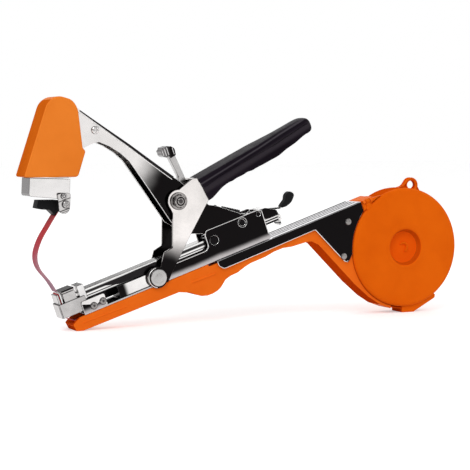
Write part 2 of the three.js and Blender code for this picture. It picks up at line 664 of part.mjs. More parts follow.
// Return spring: one unbroken wire with a straight end at each hook
const wireRadius = 0.36;
const coilRadius = 1.95;
const coilCount = 12;
const coilSteps = 8;
const wireSides = 5;
const hookLength = 2.6;
const springFrom = new THREE.Vector3(anchorPlace[0], 0, anchorPlace[1]);
const springTo = new THREE.Vector3(postPlace[0], 0, postPlace[1]);
const springAxis = springTo.clone().sub(springFrom).normalize();
const springSide = new THREE.Vector3(0, 1, 0);
const springUp = springSide.clone().cross(springAxis).normalize();
const standOff = postRadius + clearance + wireRadius;
springFrom.addScaledVector(springAxis, standOff);
springTo.addScaledVector(springAxis, -standOff);
const springLength = springFrom.distanceTo(springTo);
const coilLength = springLength - 2 * hookLength;
const wirePath = [];
wirePath.push(springFrom.clone());
wirePath.push(springFrom.clone().addScaledVector(springAxis, 2 * wireRadius));
for (let i = 0; i <= coilCount * coilSteps; i += 1) {
  const turn = i / coilSteps * 2 * Math.PI;
  const along = hookLength + coilLength * i / (coilCount * coilSteps);
  wirePath.push(springFrom.clone()
    .addScaledVector(springAxis, along)
    .addScaledVector(springUp, coilRadius * Math.cos(turn))
    .addScaledVector(springSide, coilRadius * Math.sin(turn)));
}
wirePath.push(springTo.clone().addScaledVector(springAxis, -2 * wireRadius));
wirePath.push(springTo.clone());

// The wire's surface: a ring of points round each place of the path, carried along it unturned
function wireGeometry(path, radius, sides) {
  const positions = [];
  const indices = [];
  const tangentAt = (i) => {
    const from = path[Math.max(i - 1, 0)];
    const to = path[Math.min(i + 1, path.length - 1)];
    return to.clone().sub(from).normalize();
  };
  let normal = new THREE.Vector3(0, 1, 0);
  path.forEach((point, i) => {
    const tangent = tangentAt(i);
    normal = normal.clone().addScaledVector(tangent, -normal.dot(tangent)).normalize();
    const other = tangent.clone().cross(normal);
    for (let k = 0; k < sides; k += 1) {
      const angle = k / sides * 2 * Math.PI;
      const spot = point.clone()
        .addScaledVector(normal, radius * Math.cos(angle))
        .addScaledVector(other, radius * Math.sin(angle));
      positions.push(spot.x, spot.y, spot.z);
    }
  });
  for (let i = 0; i < path.length - 1; i += 1) {
    for (let k = 0; k < sides; k += 1) {
      const a = i * sides + k;
      const b = i * sides + (k + 1) % sides;
      indices.push(a, b, a + sides, b, b + sides, a + sides);
    }
  }
  const last = (path.length - 1) * sides;
  for (let k = 1; k < sides - 1; k += 1) {
    indices.push(0, k + 1, k);
    indices.push(last, last + k, last + k + 1);
  }
  const geometry = new THREE.BufferGeometry();
  geometry.setAttribute('position', new THREE.BufferAttribute(new Float32Array(positions), 3));
  geometry.setIndex(indices);
  geometry.computeVertexNormals();
  return geometry;
}

// Least gap of the wire to itself, measured between points more than half a curl apart
let leastGap = Infinity;
for (let i = 0; i < wirePath.length; i += 1) {
  for (let k = i + Math.floor(coilSteps / 2) + 1; k < wirePath.length; k += 1) {
    leastGap = Math.min(leastGap, wirePath[i].distanceTo(wirePath[k]) - 2 * wireRadius);
  }
}
console.log(`return_spring least gap to itself ${leastGap.toFixed(3)} mm`);
const springMesh = new THREE.Mesh(
  wireGeometry(wirePath, wireRadius, wireSides), new THREE.MeshStandardMaterial(looks.black));
springMesh.name = 'return_spring';
jaw.add(springMesh);

// Head: the cover over the arm's end, the clincher block under it and the tape catch
const coverShares = [
  [-0.061, 0.916, 2], [-0.444, 0.004, 1], [0.43, 0.004, 1], [0.556, 0.322, 1], [0.507, 0.359],
  [0.43, 0.848], [0.398, 0.921, 2], [0.107, 1.004, 2],
];
const coverCavityShares = [
  [-0.396, -0.063], [-0.005, 0.854], [0.752, 0.854], [0.752, -0.063],
];
const blockShares = [
  [-0.345, -0.002], [-0.359, -0.226, 1], [0.138, -0.263], [0.294, -0.265, 1], [0.311, -0.021],
];
const catchShares = [
  [-0.18, -0.276], [-0.209, -0.378], [-0.126, -0.392], [0.002, -0.399], [0.1, -0.474],
  [0.131, -0.418], [0.252, -0.403], [0.262, -0.29], [0.121, -0.278],
];
const catchBossShares = [
  [0.112, -0.42], [0.252, -0.403], [0.262, -0.29], [0.121, -0.278],
];
const catchLeverShares = [
  [0.087, -0.184, 1], [0.306, -0.192, 1], [0.289, -0.401, 1], [0.231, -0.449, 1],
  [0.117, -0.434, 1],
];
let cover = sheet(points(coverShares, headLength, headHeight, coverCorner), -coverHalf, coverHalf);
const cavityHalf = armHalf + clearance;
cover = cover.subtract(sheet(
  points(coverCavityShares, headLength, headHeight), -cavityHalf, cavityHalf));
place(head, 'head_cover', cover, 'orange');
place(head, 'clincher_block', sheet(
  points(blockShares, headLength, headHeight, sheetCorner), -headHalf, headHalf), 'bright');

const catchPinPlace = [0.189 * headLength, -0.2284 * headHeight];
const catchScrewPlace = [0.221 * headLength, -0.33 * headHeight];
const catchHalf = 4.5;
const catchLeverWall = 1;
const catchSeat = headHalf + clearance;
let tapeCatch = sheet(points(catchShares, headLength, headHeight), -catchHalf, catchHalf);
tapeCatch = tapeCatch.add(sheet(points(catchBossShares, headLength, headHeight), -headHalf, catchHalf));
tapeCatch = tapeCatch.subtract(bar(
  catchScrewPlace, screwRadius + clearance, -coverHalf, -catchHalf, 12));
place(head, 'tape_catch', tapeCatch, 'dark');
let catchLever = sheet(points(catchLeverShares, headLength, headHeight, sheetCorner),
  -catchSeat - catchLeverWall, -catchSeat);
catchLever = catchLever.subtract(bar(catchPinPlace, screwRadius + clearance, -spineHalf * 2, 0, 12));
catchLever = catchLever.subtract(bar(catchScrewPlace, screwRadius + clearance, -spineHalf * 2, 0, 12));
place(head, 'catch_lever', catchLever, 'bright');
const leverFace = catchSeat + catchLeverWall;
screw(head, 'catch_pin', catchPinPlace, leverFace, catchSeat, screwRadius,
  0.8 * screwHead, 0.6 * screwHeadHeight, 'bright');
screw(head, 'catch_screw', catchScrewPlace, leverFace, catchHalf + clearance, screwRadius,
  screwHead, screwHeadHeight, 'bright');

// Free stretch of tape between the nose and the head's catch
const spanTopShare = [0.083, -0.486];
const spanShares = [
  [0, 0], [0.122, 0.0816], [0.304, 0.197], [0.498, 0.2614], [0.669, 0.2294], [0.847, 0.094], [1, 0],
];
const spanSteps = 18;
const spanTop = [spanTopShare[0] * headLength, spanTopShare[1] * headHeight];
const noseAway = [tapeLine - head.position.x, 0.874 * frameRise + 2 * clearance - head.position.z];
const spanEnd = [
  noseAway[0] * Math.cos(jawTilt) - noseAway[1] * Math.sin(jawTilt),
  noseAway[0] * Math.sin(jawTilt) + noseAway[1] * Math.cos(jawTilt),
];
const spanCurve = new THREE.CatmullRomCurve3(
  spanned(spanTop, spanEnd, spanShares.map(([along, aside]) => [along, -aside]))
    .map(([x, z]) => new THREE.Vector3(x, 0, z)));
const spanLine = spanCurve.getPoints(spanSteps).map((spot) => [spot.x, spot.z]);
place(head, 'tape_span', sheet(stripOutline(spanLine, tapeWall), -tapeHalf, tapeHalf), 'tape');

// Handle: two steel sides joined by a short web, with tangs that run into the grip
const tangShares = [
  [-0.348, 0.844], [-0.299, 0.831], [-0.296, 0.79], [-0.007, 0.821], [-0.007, 0.684],
  [-0.197, 0.599], [-0.262, 0.589],
];
const legShares = [
  [0.6437, -0.2849], [0.0928, -0.1678], [-0.0267, -0.1505], [0, 0], [0.1345, 0.0031],
  [0.326, 0.0058], [0.4216, -0.0835], [0.823, 0.0315], [0.9216, 0.115], [1.0952, 0.0671],
];
const handleWebShares = [
  [-0.348, 0.844], [-0.302, 0.832], [-0.304, 0.814], [-0.352, 0.826],
];
const linkLobe = 7.1;
const boltLobe = 7.6;
const handleOutline = [
  ...points(tangShares, gripReach, gripRise), ...spanned(linkPivot, handlePivot, legShares),
];
let handle = pair(handleOutline, handleInner, handleHalf);
for (const [from, to] of [[-handleHalf, -handleInner], [handleInner, handleHalf]]) {
  handle = handle.add(bar(linkPivot, linkLobe, from, to, 28));
  handle = handle.add(bar(handlePivot, boltLobe, from, to, 28));
}
handle = handle.add(sheet(points(handleWebShares, gripReach, gripRise), -handleHalf, handleHalf));
handle = handle.subtract(bar(handlePivot, boltRadius + clearance, -coverHalf, coverHalf));
handle = handle.subtract(bar(linkPivot, linkPinRadius + clearance, -coverHalf, coverHalf));
place(jaw, 'handle_channel', handle, 'steel');

// Lower pin of the handle, with a round head on each side
const linkPinSeat = handleHalf + clearance;
let linkPin = bar(linkPivot, linkPinRadius, -linkPinSeat - overrun / 2, linkPinSeat + overrun / 2);
linkPin = linkPin.add(bar(linkPivot, linkPinHead, -linkPinSeat - linkPinHeadHeight, -linkPinSeat, 28));
linkPin = linkPin.add(bar(linkPivot, linkPinHead, linkPinSeat, linkPinSeat + linkPinHeadHeight, 28));
place(jaw, 'link_pin', linkPin, 'bright');

// Bolt that joins the handle to the arm, with spacers, washers and a nut
const washerSeat = handleHalf + clearance;
const nutSeat = washerSeat + washerHeight + clearance;
const boltEnd = nutSeat + nutHeight;
const threadGap = boltRadius + clearance;
let bolt = bar(handlePivot, boltRadius, -boltEnd, nutSeat + overrun);
bolt = bolt.add(bar(handlePivot, boltHex, nutSeat, nutSeat + nutHeight, 6));
place(jaw, 'pivot_bolt', bolt, 'bright');
place(jaw, 'pivot_nut', bar(handlePivot, boltHex, -nutSeat - nutHeight + clearance, -nutSeat, 6)
  .subtract(bar(handlePivot, threadGap, -2 * coverHalf, 0)), 'bright');
const spacerFrom = armHalf + clearance / 2;
const spacerTo = handleInner - clearance / 2;
const boltHole = bar(handlePivot, threadGap, -2 * coverHalf, 2 * coverHalf);
place(jaw, 'pivot_washer_near', bar(
  handlePivot, boltWasher, -washerSeat - washerHeight, -washerSeat, 28).subtract(boltHole), 'bright');
place(jaw, 'pivot_washer_far', bar(
  handlePivot, boltWasher, washerSeat, washerSeat + washerHeight, 28).subtract(boltHole), 'bright');
place(jaw, 'pivot_spacer_near', bar(
  handlePivot, boltHex, -spacerTo, -spacerFrom).subtract(boltHole), 'steel');
place(jaw, 'pivot_spacer_far', bar(
  handlePivot, boltHex, spacerFrom, spacerTo).subtract(boltHole), 'steel');

// Grip: a moulded sleeve, hollow and open below, over the handle's tangs
const gripShares = [
  [-0.293, 0.818], [-0.163, 0.839], [0.136, 0.885], [0.476, 0.937], [0.747, 0.978], [0.897, 1],
  [0.951, 0.99], [0.986, 0.955], [1, 0.915], [0.992, 0.885], [0.958, 0.863], [0.856, 0.839],
  [0.749, 0.801], [0.639, 0.772], [0.545, 0.736], [0.448, 0.723], [0.349, 0.696], [0.255, 0.69],
  [0.162, 0.669], [0.058, 0.661], [-0.048, 0.63], [-0.186, 0.559], [-0.25, 0.581],
];
const gripCavityShares = [
  [-0.408, 0.774], [-0.293, 0.793], [0.897, 0.974], [0.897, 0.576], [-0.408, 0.432],
];
const tangSlotShares = [
  [-0.33, 0.795], [-0.296, 0.797], [-0.003, 0.826], [-0.003, 0.678], [-0.195, 0.593], [-0.33, 0.56],
];
let grip = sheet(points(gripShares, gripReach, gripRise), -gripHalf, gripHalf);
grip = grip.subtract(sheet(points(gripCavityShares, gripReach, gripRise), -handleInner, handleInner));
const slotHalf = handleHalf + clearance;
grip = grip.subtract(sheet(points(tangSlotShares, gripReach, gripRise), -slotHalf, slotHalf));
place(jaw, 'grip', grip, 'dark');

// Lock lever inside the arm, on the same bolt, with its knurled thumb tab
const lockGap = 1.8;
const lockReach = -0.348 * gripReach - handlePivot[0] - lockGap;
const lockRise = 35.5;
const lockShares = [
  [-0.1289, -0.0766], [0.2714, -0.0923], [0.9839, 0.1599], [1.0016, 0.3417], [0.8544, 0.764],
  [0.8249, 0.8813], [0.5364, 0.8813], [0.4952, 0.7698], [0.6777, 0.3828], [0.5187, 0.2948],
  [-0.2467, 0.0876],
];
const lockTabShares = [
  [-0.1113, 1.0005], [0.6012, 0.9868], [0.872, 0.9204], [0.8249, 0.891], [0.3892, 0.891],
  [-0.0347, 0.8852],
];
const lockHalf = 2.2;
const lockTabHalf = 5;
let lock = sheet(from(handlePivot, points(lockShares, lockReach, lockRise)), -lockHalf, lockHalf);
lock = lock.add(bar(handlePivot, boltHex, -lockHalf, lockHalf, 24)).subtract(boltHole);
place(jaw, 'lock_lever', lock, 'bright');
place(jaw, 'lock_tab', sheet(
  from(handlePivot, points(lockTabShares, lockReach, lockRise)), -lockTabHalf, lockTabHalf), 'black');

// Origin: the middle of the tool's box, on the floor
tool.updateMatrixWorld(true);
const box = new THREE.Box3().setFromObject(tool, true);
const middle = box.getCenter(new THREE.Vector3());
jaw.position.set(-middle.x, -middle.y, -box.min.z);

export default tool;
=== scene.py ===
"""Looks of a one-handed plant tying tool: moulded orange shell and reel, plated steel jaw and arm.

Places are in millimetres: y across the tool with s along the jaw and t square to it, or with upright x and
z from the head's corner or the reel's centre. The first functions turn them into metres of the tool's frame.
"""

import json
import math

import bmesh
import bpy
import numpy as np
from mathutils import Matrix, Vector

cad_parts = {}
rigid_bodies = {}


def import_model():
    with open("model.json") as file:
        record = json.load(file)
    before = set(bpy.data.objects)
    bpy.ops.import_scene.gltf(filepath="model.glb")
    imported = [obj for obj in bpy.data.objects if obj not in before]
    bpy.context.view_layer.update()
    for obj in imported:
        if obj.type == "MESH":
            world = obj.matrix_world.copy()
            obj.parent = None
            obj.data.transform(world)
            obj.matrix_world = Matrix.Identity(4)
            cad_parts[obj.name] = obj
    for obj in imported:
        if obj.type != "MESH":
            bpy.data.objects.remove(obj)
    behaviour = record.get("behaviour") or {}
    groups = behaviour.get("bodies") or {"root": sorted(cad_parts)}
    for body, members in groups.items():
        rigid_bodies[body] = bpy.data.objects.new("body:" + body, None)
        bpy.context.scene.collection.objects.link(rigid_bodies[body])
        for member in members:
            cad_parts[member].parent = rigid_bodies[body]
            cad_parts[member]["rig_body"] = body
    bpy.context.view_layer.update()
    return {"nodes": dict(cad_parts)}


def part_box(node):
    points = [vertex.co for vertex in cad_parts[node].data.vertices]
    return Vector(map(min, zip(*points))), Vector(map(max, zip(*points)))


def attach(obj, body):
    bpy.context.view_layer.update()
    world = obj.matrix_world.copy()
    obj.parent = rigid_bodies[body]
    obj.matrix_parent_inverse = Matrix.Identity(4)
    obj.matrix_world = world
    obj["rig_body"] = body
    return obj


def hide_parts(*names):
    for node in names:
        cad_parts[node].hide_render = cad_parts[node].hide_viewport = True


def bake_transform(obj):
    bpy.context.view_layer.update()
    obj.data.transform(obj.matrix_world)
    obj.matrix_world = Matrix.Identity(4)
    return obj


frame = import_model()

MM = 0.001
TILT = math.radians(19)
JAW_ORIGIN = (-2.9515, 50.548)
HEAD_CORNER = (-143.37, 99.33)
REEL_CENTRE = (118.808, 46.784)
SIDES = (-1, 1)
WELD_GAP = 1e-6


# Places

def upright(x, y, z, origin=(0, 0)):
    """Places in the side view, measured from an origin, from millimetres to metres of the tool's frame."""
    x, y, z = np.broadcast_arrays(*(np.asarray(v, float) for v in (x, y, z)))
    return np.stack([x + origin[0], y, z + origin[1]], -1) * MM


def jaw(s, y, t):
    """The jaw's tilted plane, from its origin: x = s cos a - t sin a and z = s sin a + t cos a."""
    s, t = np.asarray(s, float), np.asarray(t, float)
    x = math.cos(TILT) * s - math.sin(TILT) * t
    z = math.sin(TILT) * s + math.cos(TILT) * t
    return upright(x, y, z, JAW_ORIGIN)


def head(x, y, z):
    """Upright places measured from the head's corner."""
    return upright(x, y, z, HEAD_CORNER)


def reel(x, y, z):
    """Upright places measured from the reel's centre."""
    return upright(x, y, z, REEL_CENTRE)


def smooth_line(knots, steps):
    """A curve through the knots: each span is a cubic, and its slope at a knot is half the way between the
    knot's two neighbours."""
    p = np.asarray(knots, float)
    padded = np.vstack([2 * p[0] - p[1], p, 2 * p[-1] - p[-2]])
    u = np.linspace(0, len(p) - 1, steps)
    k = np.minimum(u.astype(int), len(p) - 2)
    f = (u - k)[:, None]
    a, b, c, d = (padded[k + i] for i in range(4))
    square, cube = 2 * a - 5 * b + 4 * c - d, 3 * b - a - 3 * c + d
    return 0.5 * (2 * b + (c - a) * f + square * f ** 2 + cube * f ** 3)


def ways(line):
    """The way that a line takes at each of its points, one unit long."""
    along = np.gradient(np.asarray(line, float), axis=0)
    return along / np.linalg.norm(along, axis=1)[:, None]


def normals(line):
    """The normals of a line in the side view, a quarter turn from its way."""
    along = ways(line)
    return np.stack([-along[:, 1], along[:, 0]], -1)


# Surfaces

def weave(rows, columns, round_rows):
    """Four-sided faces between neighbouring rows and columns of a grid; the last column meets the first, and
    with round rows the last row meets the first too."""
    i = np.arange(rows if round_rows else rows - 1)[:, None]
    j = np.arange(columns)[None, :]
    here, there = i * columns, (i + 1) % rows * columns
    beside = (j + 1) % columns
    return np.stack([here + j, here + beside, there + beside, there + j], -1).reshape(-1, 4)


def outward(points, faces):
    """Turns the faces of a closed shell round where its volume, summed from a.(b x c), is negative."""
    volume = 0
    for face in faces:
        a, rest = points[face[0]], points[list(face[1:])]
        volume += np.sum(np.cross(rest[:-1], rest[1:]) @ a)
    return faces if volume > 0 else [list(reversed(face)) for face in faces]


def skin(grid, round_rows=False):
    """A grid of places as a closed shell: rows run along, columns run round, and flat ends close it."""
    rows, columns = grid.shape[:2]
    points = grid.reshape(-1, 3)
    faces = weave(rows, columns, round_rows).tolist()
    if not round_rows:
        faces += [list(range(columns))[::-1], list(range((rows - 1) * columns, rows * columns))]
    return points, outward(points, faces)


def turned(profile, place, steps=96, span=(0, 360)):
    """A profile of (radius, y) carried round the y axis: x = r cos a, z = r sin a."""
    whole = span[1] - span[0] >= 360
    angle = np.radians(np.linspace(*span, steps, endpoint=not whole))[:, None]
    radius, y = np.asarray(profile, float).T[:, None]
    return skin(place(radius * np.cos(angle), y, radius * np.sin(angle)), whole)


ASKEW = (0.3, 0.2, 0.93)
MITRE_LIMIT = 0.35


def tube(path, radius, sides=12):
    """A round wire along a path: each ring lies square to the path and is carried along it without twist."""
    path = np.asarray(path, float)
    along = ways(path)
    side = np.cross(along[0], ASKEW)
    carried = []
    for direction in along:
        side = side - direction * (side @ direction)
        side = side / np.linalg.norm(side)
        carried.append(side)
    side = np.array(carried)
    up = np.cross(along, side)
    angle = np.linspace(0, 2 * math.pi, sides, endpoint=False)[None, :, None]
    radius = np.broadcast_to(radius, (len(path),))[:, None, None]
    return skin(path[:, None] + radius * (np.cos(angle) * side[:, None] + np.sin(angle) * up[:, None]))


def inset(outline, by):
    """A closed outline moved inward: each point steps along the mean of its two sides' normals, and less far
    at a corner that is very sharp."""
    p = np.asarray(outline, float)
    before, after = p - np.roll(p, 1, 0), np.roll(p, -1, 0) - p
    area = np.sum(p[:, 0] * np.roll(p[:, 1], -1) - np.roll(p[:, 0], -1) * p[:, 1])
    turn = 1 if area > 0 else -1
    inward = []
    for side in (before, after):
        length = np.linalg.norm(side, axis=1)[:, None]
        inward.append(np.stack([-side[:, 1], side[:, 0]], -1) / length * turn)
    middle = inward[0] + inward[1]
    middle /= np.maximum(np.sum(middle * inward[0], 1), MITRE_LIMIT)[:, None]
    return p + middle * by


def slab(outline, low, high, edge, place, steps=4):
    """A plate with round edges: the outline shrinks by r(1 - sin a) as it nears a face by r(1 - cos a)."""
    angle = np.linspace(0, math.pi / 2, steps + 1)
    round_edge = list(zip(edge * (1 - np.sin(angle)), edge * (1 - np.cos(angle))))
    rings = [(cut, low + depth) for cut, depth in round_edge]
    rings += [(cut, high - depth) for cut, depth in round_edge[::-1]]
    grid = []
    for cut, y in rings:
        ring = inset(outline, cut)
        grid.append(place(ring[:, 0], y, ring[:, 1]))
    return skin(np.array(grid))


def pair(outline, inner, outer, edge, place, steps=2):
    """The same plate on either side of the tool, between two distances from its middle."""
    spans = (sorted((side * inner, side * outer)) for side in SIDES)
    return [slab(outline, low, high, edge, place, steps) for low, high in spans]


def wires(line, depth, radius, place, sides=8):
    """The same round wire on either side of the tool, along a line of the side view."""
    return [tube(place(line[:, 0], side * depth, line[:, 1]), radius * MM, sides) for side in SIDES]


def bead(spots, y, sides=12):
    """A round bead at one depth through spots (s, t, radius) of the jaw's plane."""
    s, t, radius = np.array(spots).T
    return tube(jaw(s, y, t), radius * MM, sides)


def circle(centre, radius, steps=48, start=0, end=360):
    """Points of a circle in the side view, x = cx + r cos a, z = cz + r sin a."""
    a = np.radians(np.linspace(start, end, steps, endpoint=abs(end - start) < 360))
    return np.stack([centre[0] + radius * np.cos(a), centre[1] + radius * np.sin(a)], -1)


def filleted(corners, steps=8):
    """A closed outline whose corners (x, z, r) are rounded: each is the curve (1-u)^2 a + 2u(1-u) p + u^2 b
    from a to b, which lie r away from the corner p."""
    out = []
    for k, (x, z, r) in enumerate(corners):
        p = np.array((x, z))
        a, b = (np.array(corners[j % len(corners)][:2]) for j in (k - 1, k + 1))
        to_a, to_b = np.linalg.norm(a - p), np.linalg.norm(b - p)
        r = min(r, to_a / 2.1, to_b / 2.1)
        if r <= 0:
            out.append(p[None])
            continue
        u = np.linspace(0, 1, steps + 1)[:, None]
        first, last = p + (a - p) * r / to_a, p + (b - p) * r / to_b
        out.append((1 - u) ** 2 * first + 2 * u * (1 - u) * p + u ** 2 * last)
    return np.vstack(out)


def prism(centre, radius, low, high, place, sides=6, chamfer=0.5, bore=0, steps=96):
    """A nut or a hexagon head: its reach is c / cos(b) at the angle b from the middle of a flat, and a cone
    caps both ends; a bore is widened at its mouths."""
    a = np.linspace(0, 2 * math.pi, steps, endpoint=False)
    half_side = math.pi / sides
    reach = radius * math.cos(half_side) / np.cos((a + half_side) % (2 * half_side) - half_side)
    levels = [(low, 1.6), (low + chamfer * 0.5, 0.7), (low + chamfer, 0),
              (high - chamfer, 0), (high - chamfer * 0.5, 0.7), (high, 1.6)]
    rings = [(y, np.minimum(reach, radius - chamfer * cut)) for y, cut in levels]
    if bore:
        mouth, throat = bore + 0.4 + 0 * a, bore + 0 * a
        rings = [(low + 0.5, throat), (low, mouth)] + rings + [(high, mouth), (high - 0.5, throat)]
    grid = [place(centre[0] + r * np.cos(a), y, centre[1] + r * np.sin(a)) for y, r in rings]
    return skin(np.array(grid), bool(bore))


BAR_HALF, BAR_REACH = 0.62, 1.75


def dial(centre, profile, place, cross=0.0, steps=72):
    """A profile of (radius, y) turned about a centre; its face may carry a cross recess, whose depth falls
    off with the distance from two bars."""
    a = np.linspace(0, 2 * math.pi, steps, endpoint=False)[:, None]
    r, depth = np.asarray(profile, float).T[:, None]
    y = depth
    if cross:
        from_bar = np.minimum(np.abs(r * np.cos(a)), np.abs(r * np.sin(a)))
        across, along = np.clip((BAR_HALF - from_bar) / 0.25, 0, 1), np.clip((BAR_REACH - r) / 0.3, 0, 1)
        y = depth + cross * (across * along) * (depth < depth.min() + 1.0)
    return skin(place(centre[0] + r * np.cos(a), y, centre[1] + r * np.sin(a)), True)


def added(name, data):
    """A new object in the scene, at its origin."""
    obj = bpy.data.objects.new(name, data)
    bpy.context.scene.collection.objects.link(obj)
    return obj


def carve(obj, shell):
    """Takes a shell out of the piece and keeps the result as the piece's own mesh."""
    points, faces = shell
    mesh = bpy.data.meshes.new("cutter")
    mesh.from_pydata(points.tolist(), [], faces)
    cutter = added("cutter", mesh)
    cut = obj.modifiers.new("cut", "BOOLEAN")
    cut.operation, cut.solver, cut.object = "DIFFERENCE", "EXACT", cutter
    bpy.context.view_layer.update()
    result = bpy.data.meshes.new_from_object(obj.evaluated_get(bpy.context.evaluated_depsgraph_get()))
    obj.modifiers.remove(cut)
    obj.data = result
    bpy.data.objects.remove(cutter)


def piece(name, shells, material, body, hides, sharp):
    """Joins shells into one object at the origin, welds what touches, and gives it a finish and a body."""
    mesh = bpy.data.meshes.new(name)
    points, faces, start = [], [], 0
    for own_points, own_faces in shells:
        points.append(own_points)
        faces += [[start + k for k in face] for face in own_faces]
        start += len(own_points)
    mesh.from_pydata(np.vstack(points).tolist(), [], faces)
    obj = added(name, mesh)
    weld(mesh)
    return dress(obj, material, body, hides, sharp)


def weld(mesh, flatten=False, short=0.0):
    """Merges places closer than a thousandth of a millimetre; flattened, it also joins the faces that lie in
    one plane and draws edges shorter than a given length together."""
    work = bmesh.new()
    work.from_mesh(mesh)
    bmesh.ops.remove_doubles(work, verts=work.verts, dist=WELD_GAP)
    bmesh.ops.dissolve_degenerate(work, edges=work.edges, dist=WELD_GAP / 10)
    if flatten:
        for length in (short * MM, 0):
            bmesh.ops.dissolve_limit(
                work, angle_limit=math.radians(0.5), verts=work.verts, edges=work.edges, delimit=set())
            if length:
                bmesh.ops.dissolve_degenerate(work, edges=work.edges, dist=length)
    work.to_mesh(mesh)
    work.free()


def dress(obj, material, body, hides, sharp, bevel=0, rim=None, segments=2):
    """Smooths a piece up to the sharp angle, rounds its sharp edges, gives it a slot and a body, and hides
    the nodes it stands for.
    """
    mesh = obj.data
    mesh.materials.clear()
    mesh.materials.append(material)
    mesh.shade_smooth()
    mesh.set_sharp_from_angle(angle=math.radians(sharp))
    if bevel:
        rounding = obj.modifiers.new("edges", "BEVEL")
        rounding.width = bevel * MM
        rounding.segments = segments
        rounding.limit_method = "ANGLE"
        rounding.angle_limit = math.radians(sharp)
        rounding.use_clamp_overlap = False
        rounding.harden_normals = False
        if rim:
            mesh.materials.append(rim)
            rounding.material = 1
    weights = obj.modifiers.new("faces", "WEIGHTED_NORMAL")
    weights.keep_sharp = True
    weights.weight = 95
    if body:
        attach(obj, body)
    if hides:
        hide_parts(*hides)
    return obj


def finished(name, material, bevel=0.2, sharp=32, rim=None, segments=2, short=0.0):
    """The node's own solid, merged and flattened, with its edges broken as on real sheet."""
    source = frame["nodes"][name]
    mesh = source.data.copy()
    obj = added(name + "_finished", mesh)
    weld(mesh, True, short)
    return dress(obj, material, source["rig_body"], (name,), sharp, bevel, rim, segments)


def recoated(obj, material, passes):
    """Gives another finish to the faces whose middle, as s, y and t, and whose normal pass a test."""
    mesh = obj.data
    mesh.materials.append(material)
    for face in mesh.polygons:
        x, y, z = face.center / MM
        x, z = x - JAW_ORIGIN[0], z - JAW_ORIGIN[1]
        s, t = math.cos(TILT) * x + math.sin(TILT) * z, math.cos(TILT) * z - math.sin(TILT) * x
        if passes(s, y, t, face.normal):
            face.material_index = len(mesh.materials) - 1


# Finishes

def node(tree, kind, settings=None, inputs=None):
    """Adds one shader node; an input is a value or the output that feeds it."""
    made = tree.nodes.new(kind)
    for key, value in (settings or {}).items():
        setattr(made, key, value)
    for key, value in (inputs or {}).items():
        if isinstance(value, bpy.types.NodeSocket):
            tree.links.new(value, made.inputs[key])
        else:
            made.inputs[key].default_value = value
    return made


def start_finish(name, **constants):
    """A material with its shader's plain values set on the shader itself."""
    material = bpy.data.materials.new(name)
    material.use_nodes = True
    tree = material.node_tree
    shader = tree.nodes["Principled BSDF"]
    for key, value in constants.items():
        shader.inputs[key.replace("_", " ")].default_value = value
    place = node(tree, "ShaderNodeTexCoord").outputs["Object"]
    return material, tree, shader, place


def stretched(tree, place, scale, turn=0):
    """Object places turned about the cross axis and then stretched, for grain that runs one way."""
    turned_place = node(tree, "ShaderNodeMapping", inputs={"Vector": place, "Rotation": (0, turn, 0)})
    return node(tree, "ShaderNodeMapping", inputs={
        "Vector": turned_place.outputs[0], "Scale": scale}).outputs[0]


def noise(tree, place, scale, detail=2, roughness=0.5):
    """Slow or fine cloudy noise over a place, from 0 to 1."""
    return node(tree, "ShaderNodeTexNoise", inputs={
        "Vector": place, "Scale": scale, "Detail": detail, "Roughness": roughness}).outputs["Fac"]


def between(tree, value, low, high, to_low, to_high, kind="LINEAR"):
    """Maps a value from one span to another and holds it at the ends."""
    return node(tree, "ShaderNodeMapRange", {"interpolation_type": kind}, {
        "Value": value, "From Min": low, "From Max": high, "To Min": to_low, "To Max": to_high}).outputs[0]


def blended(tree, share, one, other):
    """Mixes two colours, each a value or an output, by the share of the other."""
    made = node(tree, "ShaderNodeMix", {"data_type": "RGBA"}, {0: share})
    for index, value in ((6, one), (7, other)):
        if isinstance(value, bpy.types.NodeSocket):
            tree.links.new(value, made.inputs[index])
        else:
            made.inputs[index].default_value = (*value, 1)
    return made.outputs[2]


def maths(tree, operation, one, other=0.0):
    """One step of arithmetic on outputs or values."""
    return node(tree, "ShaderNodeMath", {"operation": operation}, {0: one, 1: other}).outputs[0]


def measured(tree, place, origin, way):
    """How far a place lies from an origin along a way."""
    away = node(tree, "ShaderNodeVectorMath", {"operation": "SUBTRACT"}, {0: place, 1: origin}).outputs[0]
    along = node(tree, "ShaderNodeVectorMath", {"operation": "DOT_PRODUCT"}, {0: away, 1: way})
    return along.outputs["Value"]


def level_of(tree, place, lean=0.0):
    """How high a place lies in the jaw's plane, in millimetres: t - lean s."""
    origin = Vector(jaw(0, 0, 0))
    up = Vector(jaw(0, 0, 1)) - origin - lean * (Vector(jaw(1, 0, 0)) - origin)
    return measured(tree, place, origin, up / MM ** 2)


def banded(tree, place, tone, bands, lean=0.0, edge=0.25):
    """Lays bands over a tone: each is (level, half width, colour), and its edges run out softly."""
    level = level_of(tree, place, lean) if bands else None
    for middle, half, colour in bands:
        away = maths(tree, "ABSOLUTE", maths(tree, "SUBTRACT", level, middle))
        share = between(tree, away, half * (1 - edge), half * (1 + edge), 1, 0, "SMOOTHSTEP")
        tone = blended(tree, share, tone, colour)
    return tone


def feed(tree, shader, tone, roughness, height, strength, distance):
    """Links a finish's tone and roughness to its shader, and lets a height disturb the normal."""
    made = node(tree, "ShaderNodeBump", inputs={"Height": height, "Strength": strength, "Distance": distance})
    for key, output in (("Base Color", tone), ("Roughness", roughness), ("Normal", made.outputs[0])):
        tree.links.new(output, shader.inputs[key])


